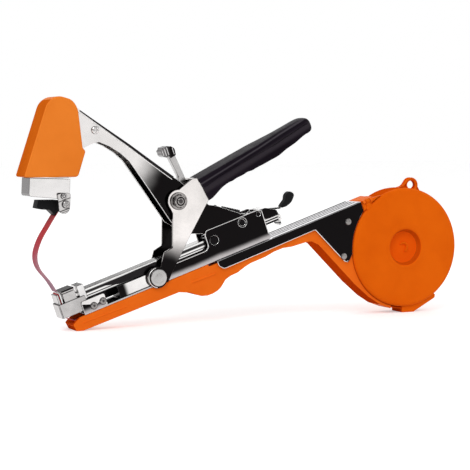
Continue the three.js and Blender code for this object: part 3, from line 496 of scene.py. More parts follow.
def moulded(name, colour, shade, low=0.36, high=0.5, grain=0.12, shine=0.02, bands=(), lean=0.0):
    """Moulded plastic: slow drift of the pigment, fine spark texture and faint flow marks, and bands of
    painted sheen.
    """
    material, tree, shader, place = start_finish(name, Specular_IOR_Level=shine)
    drift, cloud = noise(tree, place, 38, 3), noise(tree, place, 210, 3)
    tone = blended(tree, between(tree, drift, 0.35, 0.7, 0, 1), colour, shade)
    tone = banded(tree, place, tone, bands, lean, 0.75)
    spark, waves = noise(tree, place, 2600), noise(tree, place, 70, 1)
    height = maths(tree, "ADD", maths(tree, "MULTIPLY", spark, 0.3), waves)
    feed(tree, shader, tone, between(tree, cloud, 0.3, 0.7, low, high), height, grain, 0.6 * MM)
    return material


def plated(name, bright, dark=None, start=(0, 0), end=(1, 0), low=0.09, high=0.2, web=0.0, smear=0.86,
           bands=()):
    """Nickel or chrome plate: drawn grain, faint smears, and a deeper tone of painted dark reflection that
    grows from start to end on the faces that look sideways, and as painted shade covers a share of the
    others; bands are (t, half width, colour)."""
    material, tree, shader, place = start_finish(name, Metallic=1.0)
    grain = noise(tree, stretched(tree, place, (30, 500, 900), -TILT), 1.0, 3, 0.6)
    smears = noise(tree, place, 60, 4, 0.6)
    tone = blended(tree, between(tree, smears, 0.3, 0.75, 0, 1), bright, tuple(smear * c for c in bright))
    tone = banded(tree, place, tone, bands)
    if dark:
        # Painted dark reflection: the deeper tone grows from start to end on the sideways faces, and the web
        # share lays it on the other faces as painted shade.
        first, last = (Vector(jaw(*(p[0], 0, p[1]))) for p in (start, end))
        way = last - first
        run = measured(tree, place, first, way / way.length_squared)
        drift = maths(tree, "MULTIPLY", maths(tree, "SUBTRACT", noise(tree, place, 45), 0.5), 0.5)
        ramp = between(tree, maths(tree, "ADD", run, drift), 0, 1, 0, 1, "SMOOTHERSTEP")
        normal = node(tree, "ShaderNodeTexCoord").outputs["Normal"]
        facing = node(tree, "ShaderNodeSeparateXYZ", inputs={0: normal}).outputs["Y"]
        sideways = between(tree, maths(tree, "ABSOLUTE", facing), 0.5, 0.9, 0, 1)
        other = between(tree, sideways, 0, 1, web, 0)
        cover = maths(tree, "ADD", maths(tree, "MULTIPLY", ramp, sideways), other)
        tone = blended(tree, cover, tone, dark)
    roughness = between(tree, maths(tree, "ADD", grain, smears), 0.7, 1.35, low, high)
    height = maths(tree, "ADD", maths(tree, "MULTIPLY", grain, 0.05), noise(tree, place, 55, 1))
    feed(tree, shader, tone, roughness, height, 0.12, 0.8 * MM)
    return material


def film(name, colour, stretched_colour, low=0.0, high=0.001):
    """Stretchy tape: a soft gloss and fine drawn lines along it; it takes the colour of stretched film from a
    high level down to a low one, in metres above the floor."""
    material, tree, shader, place = start_finish(name, Specular_IOR_Level=0.06)
    lines = noise(tree, stretched(tree, place, (60, 2600, 60)), 1.0)
    cloud = between(tree, noise(tree, place, 90, 3), 0.3, 0.7, -0.12, 0.12)
    level = node(tree, "ShaderNodeSeparateXYZ", inputs={0: place}).outputs["Z"]
    share = maths(tree, "ADD", between(tree, level, low, high, 1, 0), cloud)
    tone = blended(tree, share, colour, stretched_colour)
    feed(tree, shader, tone, between(tree, lines, 0.3, 0.7, 0.28, 0.45), lines, 0.25, 0.2 * MM)
    return material


BLACK, GREY = (0.0075, 0.0065, 0.0068), (0.1, 0.1, 0.1)
# A ramp that lies beyond the tool: only the faces that don't look sideways take the deeper tone, as painted
# shade
BEYOND = ((900, 0), (901, 0))
orange = moulded("orange_moulding", (0.88, 0.143, 0.003), (0.80, 0.118, 0.002))
# A lighter copy of the orange for the body shell and its ribs: painted light.
orange_lit_shell = moulded("orange_lit_shell_moulding", (0.97, 0.178, 0.013), (0.90, 0.150, 0.009))
# A redder copy of the orange for the lid's sunk centre, made lighter as painted light against the shade in
# the dish.
orange_recess_light = moulded("orange_recess", (0.94, 0.118, 0.002), (0.88, 0.105, 0.002))
# A darker copy of the orange for the recess wall: painted shade.
orange_wall_shade = moulded("orange_recess_wall_shade", (0.64, 0.090, 0.002), (0.58, 0.080, 0.002))
orange_head = moulded("orange_hood_moulding", (0.92, 0.240, 0.028), (0.85, 0.208, 0.022))
# A darker copy of the orange: painted shade on the reel drum's round wall and on the sill below it.
orange_rim_shade = moulded("orange_rim_painted_shade", (0.72, 0.088, 0.002), (0.66, 0.075, 0.002), shine=0.0)
# A darker copy of the orange: painted shade on the body's faces that look to the left.
orange_shade_under = moulded("orange_shade_underside", (0.60, 0.058, 0.002), (0.54, 0.048, 0.002), shine=0.0)
# A darker copy of the hood's orange: painted shade on the hood's left faces.
orange_cheek_shade = moulded("orange_hood_cheek_shade", (0.72, 0.140, 0.008), (0.64, 0.115, 0.006), shine=0.0)
# The grip's two bands, a broad soft one along the side and a thin one near the top, are painted sheen.
grip_black = moulded("grip_moulding", (0.0085, 0.0060, 0.0095), (0.014, 0.010, 0.016), 0.26, 0.38, 0.16,
                     0.012, [(51.9, 1.9, (0.034, 0.028, 0.035)), (56.9, 0.5, (0.060, 0.053, 0.062))], 0.176)
tab_black = moulded("black_moulding", (0.010, 0.010, 0.011), (0.018, 0.018, 0.019), 0.3, 0.45, 0.2, 0.03)
bright_plate = plated("bright_plate", (0.78, 0.77, 0.765), smear=0.75)
# Bright edge plate: bare worn edges, and painted highlight where it makes glint lines on the arm, the frame
# and the link pin.
edge_wear_and_glint = plated("worn_and_glinting_edge", (0.86, 0.85, 0.84), low=0.15, high=0.3)
edge_dark = plated("shadowed_edge", (0.07, 0.065, 0.065), low=0.2, high=0.35)
# The frame plate's low base tone and the dark ramps of the arm, handle, frame, drive link, release lever,
# spine and thumb pad plates are painted dark reflection; the arm's web is painted black as shade.
arm_plate = plated("arm_plate", (0.86, 0.835, 0.82), BLACK, (-64, 83), (-49, 62), web=1.0)
# Near-black plate for painted shade along the arm's folds and painted dark reflection on the magazine's
# sides.
painted_dark_strip = plated("painted_dark_line", (0.02, 0.018, 0.019), low=0.2, high=0.3)
handle_plate = plated("handle_plate", (0.83, 0.79, 0.77), BLACK, (-53, 32), (-65, 15), smear=0.8)
frame_plate = plated("frame_plate", (0.50, 0.47, 0.47), BLACK, (-30, 0.6), (-30, 5.2))
link_plate = plated("link_plate", (0.80, 0.78, 0.77), smear=0.8)
drive_plate = plated("drive_plate", (0.82, 0.80, 0.79), BLACK, (-90, 5), (-94, 5), smear=0.8)
# The magazine's dark and grey bands are painted dark reflection.
magazine_plate = plated("magazine_plate", (0.80, 0.79, 0.78), smear=0.8, bands=[
    (13.5, 0.95, (0.03, 0.028, 0.028)), (11.1, 0.35, (0.06, 0.055, 0.055)), (9.8, 0.3, GREY)])
pusher_plate = plated("pusher_plate", (0.60, 0.59, 0.59), smear=0.7, bands=[
    (13.6, 0.5, BLACK), (10.8, 0.6, BLACK), (7.0, 0.5, BLACK)])
lever_plate = plated("lever_plate", (0.72, 0.71, 0.71), BLACK, (-100, 0), (-99, 0))
spine_plate = plated("spine_plate", (0.62, 0.61, 0.63), BLACK, (0, 0.4), (0, -0.6), high=0.25)
black_plate = plated("black_plate", (0.010, 0.009, 0.0095), high=0.25)
clincher_plate = plated("clincher_plate", (0.82, 0.80, 0.79), (0.16, 0.15, 0.15), *BEYOND, web=1.0)
cast_plate = plated("cast_plate", (0.56, 0.545, 0.54), low=0.16, high=0.3, smear=0.7)
turned_plate = plated("turned_plate", (0.36, 0.34, 0.33), low=0.12, high=0.26, smear=0.6)
# The catch lever's black and grey bands are painted reflection streaks.
catch_plate = plated("catch_plate", (0.66, 0.64, 0.63), smear=0.6, bands=[
    (80.6, 0.4, BLACK), (75.6, 0.28, (0.05, 0.045, 0.045)), (69.5, 0.3, BLACK), (68.3, 0.2, GREY)])
cap_plate = plated("cap_plate", (0.60, 0.585, 0.58), low=0.16, high=0.3, smear=0.7,
                   bands=[(20.1, 1.0, BLACK)])
pad_plate = plated("pad_plate", (0.20, 0.19, 0.19), BLACK, (-38, 81), (-32, 80), web=0.2)
wire_steel = plated("spring_steel", (0.035, 0.032, 0.033), low=0.14, high=0.28)
red_film = film("red_film", (0.60, 0.015, 0.022), (0.70, 0.05, 0.06))
span_film = film("stretched_film", (0.50, 0.008, 0.014), (0.32, 0.122, 0.188), 0.026, 0.066)

# Reel

LID_FACE, LID_BACK, TAB_BACK = -10.6, -8.6, -8.9
LID_TAB = [(92.2, -7.6, 0.5), (93.5, -3.4, 0.8), (93.5, -0.9, 0.6), (96.5, -0.9, 0.6), (96.5, -3.4, 0.8),
           (98.6, -5.6, 0.5)]
HINGE_Y, HINGE_T = -10.196, -1.002
RECESS = 12.9
KNUCKLE = [(s, HINGE_T, radius) for s, radius in ((93.42, 1.1), (93.7, 1.4), (96.3, 1.4), (96.57, 1.1))]


def lid_profile():
    """Radius against depth: a sunk centre with a raised lip, a flat face, a soft rim and the back."""
    centre = [(0, -6.7), (4.0, -6.7), (9.6, -6.7), (11.2, -6.95), (12.0, -8.2), (12.5, -9.6), (13.1, -10.5),
              (14.1, -10.85), (15.3, -10.75), (17.4, LID_FACE)]
    rim = [(38.6, LID_FACE), (40.4, -10.5), (41.5, -10.05), (42.1, -9.3), (42.3, LID_BACK)]
    back = [(14.0, LID_BACK), (13.4, -5.9), (0, -5.8)]
    return smooth_line(centre, 60).tolist() + smooth_line(rim, 24).tolist() + back


def ridge(start, end, radius, width, base, height, place, steps=28):
    """A low bead that follows an arc in a recess: an oval section, tapering to its ends."""
    a = np.radians(np.linspace(start, end, steps))
    taper = np.sin(np.linspace(0, math.pi, steps)) ** 0.4
    b = np.linspace(0, 2 * math.pi, 12, endpoint=False)
    r = radius + width * np.cos(b)[None] * taper[:, None]
    y = base - height * np.sin(b)[None] * taper[:, None]
    return skin(place(r * np.cos(a)[:, None], y, r * np.sin(a)[:, None]))


def from_reel(s, t):
    """The distance of a place in the jaw's plane from the reel's axis."""
    x, _, z = jaw(s, 0, t) / MM
    return math.hypot(x - REEL_CENTRE[0], z - REEL_CENTRE[1])


def in_recess(s, y, t, normal):
    """The lid's sunk centre, without the bead that stands in it: the faces that take the painted light."""
    away = from_reel(s, t)
    return y < -6 and away < RECESS and not (y < -7.0 and away < 9)


lid_shells = [turned(lid_profile(), reel, 144), ridge(-80, 150, 3.1, 0.95, -6.75, 1.5, reel),
              slab(filleted(LID_TAB), LID_FACE, TAB_BACK, 0.16, jaw), bead(KNUCKLE, HINGE_Y, 24)]
lid = piece("reel_lid", lid_shells, orange, "cover", ("reel_cover",), 50)
# Painted light in the lid's sunk centre.
recoated(lid, orange_recess_light, in_recess)
# Painted shade on the recess wall.
recoated(lid, orange_wall_shade, lambda s, y, t, n: -10.3 < y < -6.9 and 11.0 < from_reel(s, t) < RECESS)

housing = finished("reel_housing", orange, 0.35, 30, segments=3, short=0.35)
# The drum's faces that don't look sideways take the painted shade.
recoated(housing, orange_rim_shade, lambda s, y, t, n: abs(n.y) < 0.3)
SILL = [(42.5, -6.6), (43.0, -7.6), (44.0, -8.0), (44.0, 8.0), (43.0, 7.6), (42.5, 6.6)]
# The sill under the reel takes the painted-shade orange.
piece("reel_sill", [turned(SILL, reel, 24, (-108, -88))], orange_rim_shade, "frame", (), 60)


def hanging_eye():
    """A loop on the rim, between a round hole and a drop-shaped outline, with round edges; it is thicker at
    its foot, where half the thickness is 2.3 + 1.7 (-sin a)^1.5."""
    centre, hole, edge, mouth = np.array((9.6, 44.0)), 3.2, 0.9, 1.2
    back = [(15.3, 42.2), (15.9, 40.8), (16.9, 38.6)]
    front = [(-2.0, 42.25), (1.0, 43.0), (3.2, 44.6), (4.6, 46.4)]
    outline = np.vstack([circle(centre, 5.5, 60, 150, -14), smooth_line(back, 12),
                         circle((0, 0), 41.6, 30, 66, 93), smooth_line(front, 16)])
    a = np.linspace(0, 2 * math.pi, 120, endpoint=False)
    away = outline - centre
    bearing = np.arctan2(away[:, 1], away[:, 0])
    order = np.argsort(bearing)
    distance = np.linalg.norm(away, axis=1)[order]
    reach = np.interp(a, bearing[order] % (2 * math.pi), distance, period=2 * math.pi)
    half = 2.3 + 1.7 * np.clip(-np.sin(a), 0, 1)[:, None] ** 1.5
    q = np.linspace(0, math.pi / 2, 5)
    rising = list(zip(np.sin(q), np.cos(q)))
    falling = rising[::-1]
    section = [(0, mouth * (1 - u), -1, mouth * (1 - v)) for u, v in falling]
    section += [(0, mouth * (1 - u), 1, mouth * (v - 1)) for u, v in rising]
    section += [(1, edge * (u - 1), 1, edge * (v - 1)) for u, v in falling]
    section += [(1, edge * (u - 1), -1, edge * (1 - v)) for u, v in rising]
    side, shift, way, off = np.array(section).T
    r = hole + (reach - hole)[:, None] * side + shift
    y = half * way + off
    return skin(reel(centre[0] + r * np.cos(a)[:, None], y, centre[1] + r * np.sin(a)[:, None]), True)


FAIRINGS = [[(90.7, -7.2, 0.2), (90.7, -0.6, 0.6), (93.1, -0.6, 0.2), (93.1, -5.7, 0.2)],
            [(96.9, -3.95, 0.2), (96.9, -0.6, 0.2), (102.0, -0.6, 0), (106.5, -1.1, 0.2), (102.0, -2.15, 0)]]
fairings = [slab(filleted(corners, 3), -10.3, -8.2, 0.1, jaw, 2) for corners in FAIRINGS]
piece("hinge_fairings", fairings, orange, "frame", (), 50)
piece("hanging_loop", [hanging_eye()], orange, "frame", ("hang_eye",), 60)
shell = finished("body_shell", orange_lit_shell, 0.35, 38, segments=3, short=0.52)
# Painted shade on the body's faces that look to the left.
recoated(shell, orange_shade_under, lambda s, y, t, n: n.x < -0.35 and abs(n.y) < 0.3)
RIBS = (
    [(-48.5, -7.0, 0.2), (-47.5, -7.05, 0.75), (-40.0, -7.3, 0.85), (-30.5, -7.6, 0.75), (-28.5, -7.65, 0.2)],
    [(-129.0, -3.7, 0.2), (-127.0, -3.8, 0.5), (-112.0, -4.4, 0.5), (-98.0, -5.0, 0.5), (-94.0, -5.2, 0.2)])
ribs = [bead(rib, side * 8.1) for side in SIDES for rib in RIBS]
piece("shell_ribs", ribs, orange_lit_shell, "frame", (), 60)


def wound_roll():
    """The roll of tape: each face has fine steps where one layer of film meets the next."""
    r = np.linspace(12.2, 32.8, 160)
    ripple = 0.12 * np.sin(r * 9.0) + 0.08 * np.sin(r * 23.0)
    near = list(zip(r, -5.3 + ripple * 0.6))
    far = list(zip(r[::-1], 5.3 + ripple[::-1] * 0.6))
    return turned([(12.0, -5.0)] + near + [(33.0, -5.0), (33.0, 5.0)] + far + [(12.0, 5.0)], reel, 96)


piece("tape_winding", [wound_roll()], red_film, "roll", ("tape_roll",), 60)

# Tape

FILM_HALF, LEVEL = 5.4, -2.84
RUN = [(104.4, -9.9), (98.0, -8.2), (90.0, -5.1), (82.0, -3.3)]
RUN += [(s, LEVEL) for s in (74.0, 62.0, 30.0, -20.0, -70.0, -102.0, -115.0, -121.0)]
RUN += [(-125.0, -2.75), (-129.0, -2.1), (-132.4, -0.7), (-134.8, 1.0), (-136.3, 3.4)]
RUN += [(-136.68, t) for t in (6.5, 12.0, 19.4)]
SPAN = [(5.9, -21.6), (3.42, -25.32), (-0.41, -31.3), (-5.8, -40.2), (-8.7, -49.7), (-6.9, -58.1), (0, -66.8),
        (4.6, -73.9)]


def ribbon(line, half, place, cup=0.35, wall=0.2, rows=120, across=13):
    """A strip of film along a line: its width runs across the tool, it has a wall, and unless its cup is 0 it
    bulges by the cup in its middle and sways a little."""
    path = smooth_line(line, rows)
    normal = normals(path)
    v = np.linspace(-1, 1, across)
    sway = 0.25 * np.sin(np.linspace(0, 9, rows))[:, None] if cup else 0
    lift = cup * (1 - v ** 2) * np.sin(np.linspace(0, math.pi, rows))[:, None] ** 0.5
    layers = []
    for offset, order in ((wall / 2, slice(None)), (-wall / 2, slice(None, None, -1))):
        shift = (lift + offset)[:, order]
        x, z = (path[:, k:k + 1] + normal[:, k:k + 1] * shift for k in (0, 1))
        layers.append(place(x, half * v[order] + sway, z))
    return skin(np.concatenate(layers, 1))


piece("tape_run_film", [ribbon(RUN, FILM_HALF, jaw, 0)], red_film, "frame", ("tape_run",), 60)
film_span = piece("tape_span_film", [ribbon(SPAN, FILM_HALF, head)], span_film, None,
                  ("tape_span",), 60)
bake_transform(film_span)

# Grip

GRIP_FRONT, GRIP_SHOULDER, GRIP_CAP = -21.6, 66.0, 7.6
GRIP_HALF, GRIP_TAPER, INNER_HALF = 10.95, 1.2, 8.85
GRIP_TOP = [(-21.6, 56.8), (-12.0, 58.2), (10.0, 61.4), (35.0, 65.0), (55.0, 67.9), (66.0, 69.35),
            (70.0, 68.8), (72.6, 66.3), (73.6, 63.6)]
GRIP_BOTTOM = [(-21.6, 40.9), (-18.2, 41.6), (-13.7, 43.5), (-9.5, 45.4), (-6.3, 46.4), (-2.1, 47.3),
               (0.6, 47.3), (4.7, 48.1), (9.4, 48.4), (14.0, 49.2), (17.5, 49.0), (21.7, 49.6), (28.0, 50.2),
               (33.0, 50.8), (40.1, 51.6), (47.0, 53.7), (55.1, 55.6), (63.0, 58.2), (70.5, 59.9),
               (73.0, 61.6), (73.6, 63.4)]
GRIP_SECTION = [(-0.80, 0.00), (-0.93, 0.03), (-0.985, 0.14), (-1.0, 0.32), (-0.985, 0.47), (-0.965, 0.545),
                (-0.87, 0.575), (-0.93, 0.62), (-0.92, 0.70), (-0.875, 0.775), (-0.80, 0.80), (-0.80, 0.845),
                (-0.70, 0.925), (-0.50, 0.975), (-0.25, 0.995), (0.0, 1.0)]
GRIP_SQUARE = [(-0.93, 0.00), (-0.985, 0.03), (-1.0, 0.14), (-1.0, 0.32), (-1.0, 0.45), (-0.985, 0.53),
               (-0.94, 0.57), (-0.985, 0.61), (-1.0, 0.70), (-1.0, 0.80), (-0.995, 0.86), (-0.98, 0.90),
               (-0.93, 0.955), (-0.80, 0.985), (-0.40, 0.998), (0.0, 1.0)]


def grip_sleeve():
    """Sections along the grip: width and height follow two edge lines, each section is the same closed loop,
    its side carries two grooves, and an inner loop leaves it open below."""
    cap = np.sin(np.linspace(0, math.pi / 2, 22))[1:]
    s = np.concatenate([np.linspace(GRIP_FRONT, GRIP_SHOULDER, 70), GRIP_SHOULDER + GRIP_CAP * cap])
    top_line, bottom_line = smooth_line(GRIP_TOP, 200), smooth_line(GRIP_BOTTOM, 200)
    top = np.interp(s, np.maximum.accumulate(top_line[:, 0]), top_line[:, 1])
    bottom = np.interp(s, np.maximum.accumulate(bottom_line[:, 0]), bottom_line[:, 1])
    near_end = np.clip((s - 64.0) / 9.62, 0, 1)
    half = (GRIP_HALF - GRIP_TAPER * np.clip((s + 21) / 95, 0, 1)) * np.sqrt(1 - near_end ** 2.2) + 0.05
    near, square = smooth_line(GRIP_SECTION, 46), smooth_line(GRIP_SQUARE, 46)
    near, square = (np.vstack([line, (line * (-1, 1))[-2::-1]]) for line in (near, square))
    share = np.clip((s - 27) / 20, 0, 1)[:, None, None]
    outer = near[None] * share + square[None] * (1 - share)
    y = half[:, None] * outer[..., 0]
    height = (top - bottom)[:, None]
    t = bottom[:, None] + height * outer[..., 1]
    reach = np.clip((GRIP_SHOULDER - s) / 0.8, 0, 1)[:, None]
    inner_half = np.minimum(INNER_HALF, half - 0.6)
    wall = 1.2 - 0.72 * np.exp(-((s - 2.5) / 8) ** 2)
    inner_y = inner_half[:, None] * np.clip(outer[:, ::-1, 0] * 1.08, -1, 1)
    hollow = reach * np.maximum(height - wall[:, None], 0)
    inner_t = bottom[:, None] + hollow * np.clip(outer[:, ::-1, 1], 0, 1) ** 0.9
    lean = 0.17 * np.clip(1 - (s - GRIP_FRONT) / 40, 0, 1)[:, None]
    all_y, all_t = np.concatenate([y, inner_y], 1), np.concatenate([t, inner_t], 1)
    all_s = s[:, None] + lean * (top[:, None] - all_t)
    return skin(jaw(all_s, all_y, all_t))


piece("grip_sleeve", [grip_sleeve()], grip_black, "handle", ("grip",), 55)

# Spring

ANCHOR, POST = np.array([-12.496, 32.998]), np.array([7.522, 20.89])
SPRING_LENGTH = np.linalg.norm(POST - ANCHOR)
SPRING_WAY = (POST - ANCHOR) / SPRING_LENGTH
TURNS, COIL_RADIUS, WIRE_RADIUS, HOOK_RADIUS, HOOK_LENGTH = 12, 1.6, 0.43, 1.35, 4.0


def spring_path():
    """A close coil between two pins: it moves evenly along, its radius turns n times and is smaller near its
    ends, and a hook is bent round each pin."""
    u = np.linspace(0, 1, TURNS * 24 + 1)
    angle = 2 * math.pi * TURNS * u
    radius = COIL_RADIUS * np.minimum(1, np.minimum(u, 1 - u) * 26 + 0.25)
    along = HOOK_LENGTH + (SPRING_LENGTH - 2 * HOOK_LENGTH) * u
    coil = np.stack([along, radius * np.cos(angle), radius * np.sin(angle)], -1)
    a = np.radians(np.linspace(265, 20, 22))
    hook = np.stack([HOOK_RADIUS * np.cos(a), HOOK_RADIUS * np.sin(a), 0 * a], -1)
    first_end = np.vstack([hook, [(2.2, 0.5, 0), (3.2, 0.5, 0)]])
    second_end = (first_end * (-1, 1, 1) + (SPRING_LENGTH, 0, 0))[::-1]
    local = np.vstack([first_end, coil, second_end])
    up = np.array([-SPRING_WAY[1], SPRING_WAY[0]])
    place = ANCHOR + local[:, :1] * SPRING_WAY + local[:, 1:2] * up
    return jaw(place[:, 0], local[:, 2], place[:, 1])


spring = piece("return_coil", [tube(spring_path(), WIRE_RADIUS * MM, 10)], wire_steel, None,
               ("return_spring",), 60)
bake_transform(spring)

# Sheet metal and blocks

frame_sheet = finished("frame_channel", frame_plate, 0.22, rim=edge_wear_and_glint, short=0.33)
# At the nose the frame takes the bright plate without its painted dark reflection, and its far half there is
# painted black as shade.
recoated(frame_sheet, link_plate, lambda s, y, t, n: s < -100)
recoated(frame_sheet, black_plate, lambda s, y, t, n: s < -93 and y > -2)
finished("spine_channel", spine_plate, 0.1, rim=edge_wear_and_glint)
finished("arm_channel", arm_plate, 0.22, rim=edge_wear_and_glint, short=0.22)
handle_sheet = finished("handle_channel", handle_plate, 0.2, rim=edge_dark, short=0.3)
TANG_CUT = [(-18.0, 34.0), (-18.0, 42.0), (-15.8, 42.5), (-11.7, 44.4), (-8.0, 46.3), (-4.7, 47.5),
            (3.0, 48.3), (3.0, 34.0)]
carve(handle_sheet, slab(TANG_CUT, -11, 11, 0.05, jaw, 1))
# The far plate's inner face is painted black as shade.
recoated(handle_sheet, black_plate, lambda s, y, t, n: 8.0 < y < 9.2)
finished("magazine", magazine_plate, 0.15, rim=edge_dark)
drive_sheet = finished("drive_link", drive_plate, 0.126, rim=edge_dark)
# The drive link's far side and its front end are painted black as shade.
recoated(drive_sheet, black_plate, lambda s, y, t, n: y > 3 or s < -97.5)
for names, finish, edge in (
        ("clincher_block", clincher_plate, 0.2), ("nose_band nose_plate", cast_plate, 0.2),
        ("catch_lever", catch_plate, 0.18), ("lock_lever", cast_plate, 0.18),
        ("nose_block", cast_plate, 0.15),
        ("track_block staple_stick staple_driver cutter_blade", bright_plate, 0.12),
        ("staple_pusher", pusher_plate, 0.12)):
    for name in names.split():
        finished(name, finish, edge, rim=edge_dark)
finished("release_lever", lever_plate, 0.12, rim=edge_wear_and_glint, short=0.18)
finished("magazine_saddle", tab_black, 0.25)
finished("nose_cap", cap_plate, 0.25)
finished("tape_catch", tab_black, 0.175, short=0.175)


def strip(line, widths):
    """The outline of a strip: a line of the side view moved half its width to either side."""
    across = normals(line) * np.array(widths)[:, None] / 2
    return np.vstack([line + across, (line - across)[::-1]])


def bar(start, end, bottom, top):
    """The outline of a plain bar with small round corners."""
    return filleted([(start, bottom, 0.1), (start, top, 0.1), (end, top, 0.1), (end, bottom, 0.1)], 2)


ARM_FOLD = np.array([(-123.6, 142.0), (-103.2, 128.4), (-90.0, 119.7), (-74.0, 108.5), (-59.0, 98.3)])
FOLD_WIDTHS = (0.7, 1.3, 1.6, 1.8, 1.8)
# A black plate on the far inside of the jaw: painted shade.
JAW_SHADE = filleted([(-109.0, 1.9, 0.5), (-109.0, 8.4, 0.8), (-95.0, 8.4, 0.8), (-95.0, 1.9, 0.5)])
piece("jaw_inside_shade", [slab(JAW_SHADE, 7.45, 8.15, 0.15, jaw, 2)], black_plate, "frame", (), 35)
# Raised strips along the arm's folds, black as painted shade of the folds' round; the bright wires beside
# them are painted glints.
folds = pair(strip(ARM_FOLD, FOLD_WIDTHS), 6.9, 7.25, 0.08, upright)
piece("arm_fold_shades", folds, painted_dark_strip, "arm", (), 35)
piece("arm_glints", wires(ARM_FOLD - (0.7, 1.1), 7.1, 0.3, upright), edge_wear_and_glint, "arm", (), 60)

RAIL_START, RAIL_END, WEB_END = 16.3, 29.6, 28.7
END_PLATE = filleted([(28.6, 8.6, 0.3), (28.6, 13.0, 0.3), (30.6, 13.0, 0.5), (30.6, 8.6, 0.5)], 3)
rails = pair(bar(RAIL_START, RAIL_END, 12.2, 12.8), 4.0, 4.5, 0.08, jaw)
rails += pair(bar(RAIL_START, RAIL_END, 10.3, 11.0), 4.0, 4.5, 0.08, jaw)
rails += pair(END_PLATE, 3.0, 4.5, 0.12, jaw)
piece("pusher_rails", rails, link_plate, "pusher", (), 35)
webs = pair(bar(RAIL_START, WEB_END, 8.9, 12.9), 3.1, 3.9, 0.08, jaw)
piece("pusher_web", webs, black_plate, "pusher", (), 35)

CHEEK = filleted([(-65.6, 1.2, 0), (-65.6, 9.1, 1.0), (-30.9, 9.1, 1.6), (-28.6, 11.2, 1.0),
                  (-28.6, 19.4, 1.2), (-27.1, 21.9, 1.0), (12.8, 21.9, 0.6), (16.1, 20.4, 0.6),
                  (16.1, 4.0, 0)], 6)
SPINE_TOP = [(9.45, 0.3), (5.2, 0.22), (1.0, 0.22), (-3.4, 0.22), (-9.0, 0.2)]
TAIL = filleted([(-26.3, -0.6, 0), (-26.3, -3.4, 2.2), (-23.4, -6.4, 2.0), (50.0, -5.85, 1.5),
                 (62.3, -30.3, 2.5), (65.2, -35.6, 2.0), (67.6, -35.6, 0)], 6)
ring = circle((0, 17.89), 3.3, 40)
ring = np.vstack([ring, ring[:1]])
# Bright wires along the frame's cheek, tail and a small ring: worn edges and painted highlight lines.
rims = wires(CHEEK, 8.2, 0.27, jaw) + wires(TAIL, 9.65, 0.24, jaw) + wires(ring, 8.32, 0.2, jaw, 6)
piece("frame_rim_glints", rims, edge_wear_and_glint, "frame", (), 60)
# Thin dark wires along the spine's top: painted shade lines.
piece("spine_shade_lines", [tube(jaw([17.2, 17.5, 50.0, 88.6], y, 0), radius * MM, 8) for y, radius in SPINE_TOP],
      edge_dark, "frame", (), 60)

# A thin black plate on either side of the magazine: painted dark reflection.
MAGAZINE_REFLECTION = filleted([(-107.5, 13.4, 0.2), (-98.0, 14.0, 0), (-82.0, 14.7, 0), (-66.5, 14.9, 0.2),
                   (-66.5, 9.75, 0.2), (-84.0, 9.75, 0), (-95.5, 10.2, 0), (-101.5, 11.8, 0)], 4)
piece("magazine_dark_reflection", pair(MAGAZINE_REFLECTION, 4.75, 5.0, 0.05, jaw, 1), painted_dark_strip, "frame", (), 35)

HOOD = [(-2.6, 47.9, 4.5), (-18.3, 0.2, 2.2), (17.7, 0.2, 2.2), (22.9, 16.8, 2.0), (20.95, 18.75, 0.9),
        (17.9, 44.0, 3.0), (14.2, 49.6, 5.5), (4.4, 52.28, 6.0)]
HOOD_CAVITY = [(-16.3, -3.3), (-0.2, 44.5), (31.0, 44.5), (31.0, -3.3)]
hood = piece("head_hood", [slab(filleted(HOOD, 10), -10, 10, 0.95, head, 5)], orange_head, "arm",
             ("head_cover",), 60)
carve(hood, slab(HOOD_CAVITY, -7.3, 7.3, 0.05, head, 1))
# Painted shade on the hood's faces that look to the left.
recoated(hood, orange_cheek_shade, lambda s, y, t, n: n.x < -0.6 and abs(n.y) < 0.3)
for name in ("main_pin", "lever_pin", "frame_stud_near", "frame_stud_far"):
    finished(name, black_plate, 0.1, 50)
for name in ("hinge_pin", "spring_anchor", "spring_post", "pivot_spacer_near", "pivot_spacer_far"):
    finished(name, bright_plate, 0.12, 50)
for name in ("pivot_washer_near", "pivot_washer_far"):
    finished(name, turned_plate, 0.3, 50, edge_dark, 3)
finished("lever_tab", tab_black, 0.7, 50, segments=4)
PADDLE = filleted([(34.6, 16.6, 0.9), (37.9, 18.9, 2.5), (39.9, 23.4, 2.4), (43.7, 24.7, 1.6),
                   (46.4, 21.4, 2.0), (42.3, 16.7, 2.8), (37.0, 15.3, 1.0)], 7)
piece("lever_paddle", [slab(PADDLE, -2.9, 2.9, 0.8, jaw, 5)], tab_black, "lever", (), 50)


def centre_of(name):
    """The middle of a node's box in the side view and its near and far y, all in millimetres."""
    low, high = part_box(name)
    return ((low.x + high.x) / 2 / MM, (low.z + high.z) / 2 / MM), low.y / MM, high.y / MM


def ringed(obj, centre, spans):
    """Gives a dark finish, painted shade, to the faces whose distance from a centre lies in one of the spans.
    """
    obj.data.materials.append(edge_dark)
    for face in obj.data.polygons:
        away = math.hypot(face.center.x / MM - centre[0], face.center.z / MM - centre[1])
        if any(low < away < high for low, high in spans):
            face.material_index = 1


def fastener(name, profile, spans, cross=0.0, finish=turned_plate):
    """Turns a head and its shank about the node's own middle; the profile counts inward from the node's outer
    face, and only a head on the near side has a cross recess."""
    centre, near, far = centre_of(name)
    if near > 0:
        shape, cross = [(r, far - y) for r, y in profile[::-1]], 0.0
    else:
        shape = [(r, near + y) for r, y in profile]
    body = frame["nodes"][name]["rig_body"]
    shells = [dial(centre, shape, upright, cross)]
    made = piece(name + "_turned", shells, finish, body, (name,), 45)
    ringed(made, centre, spans)


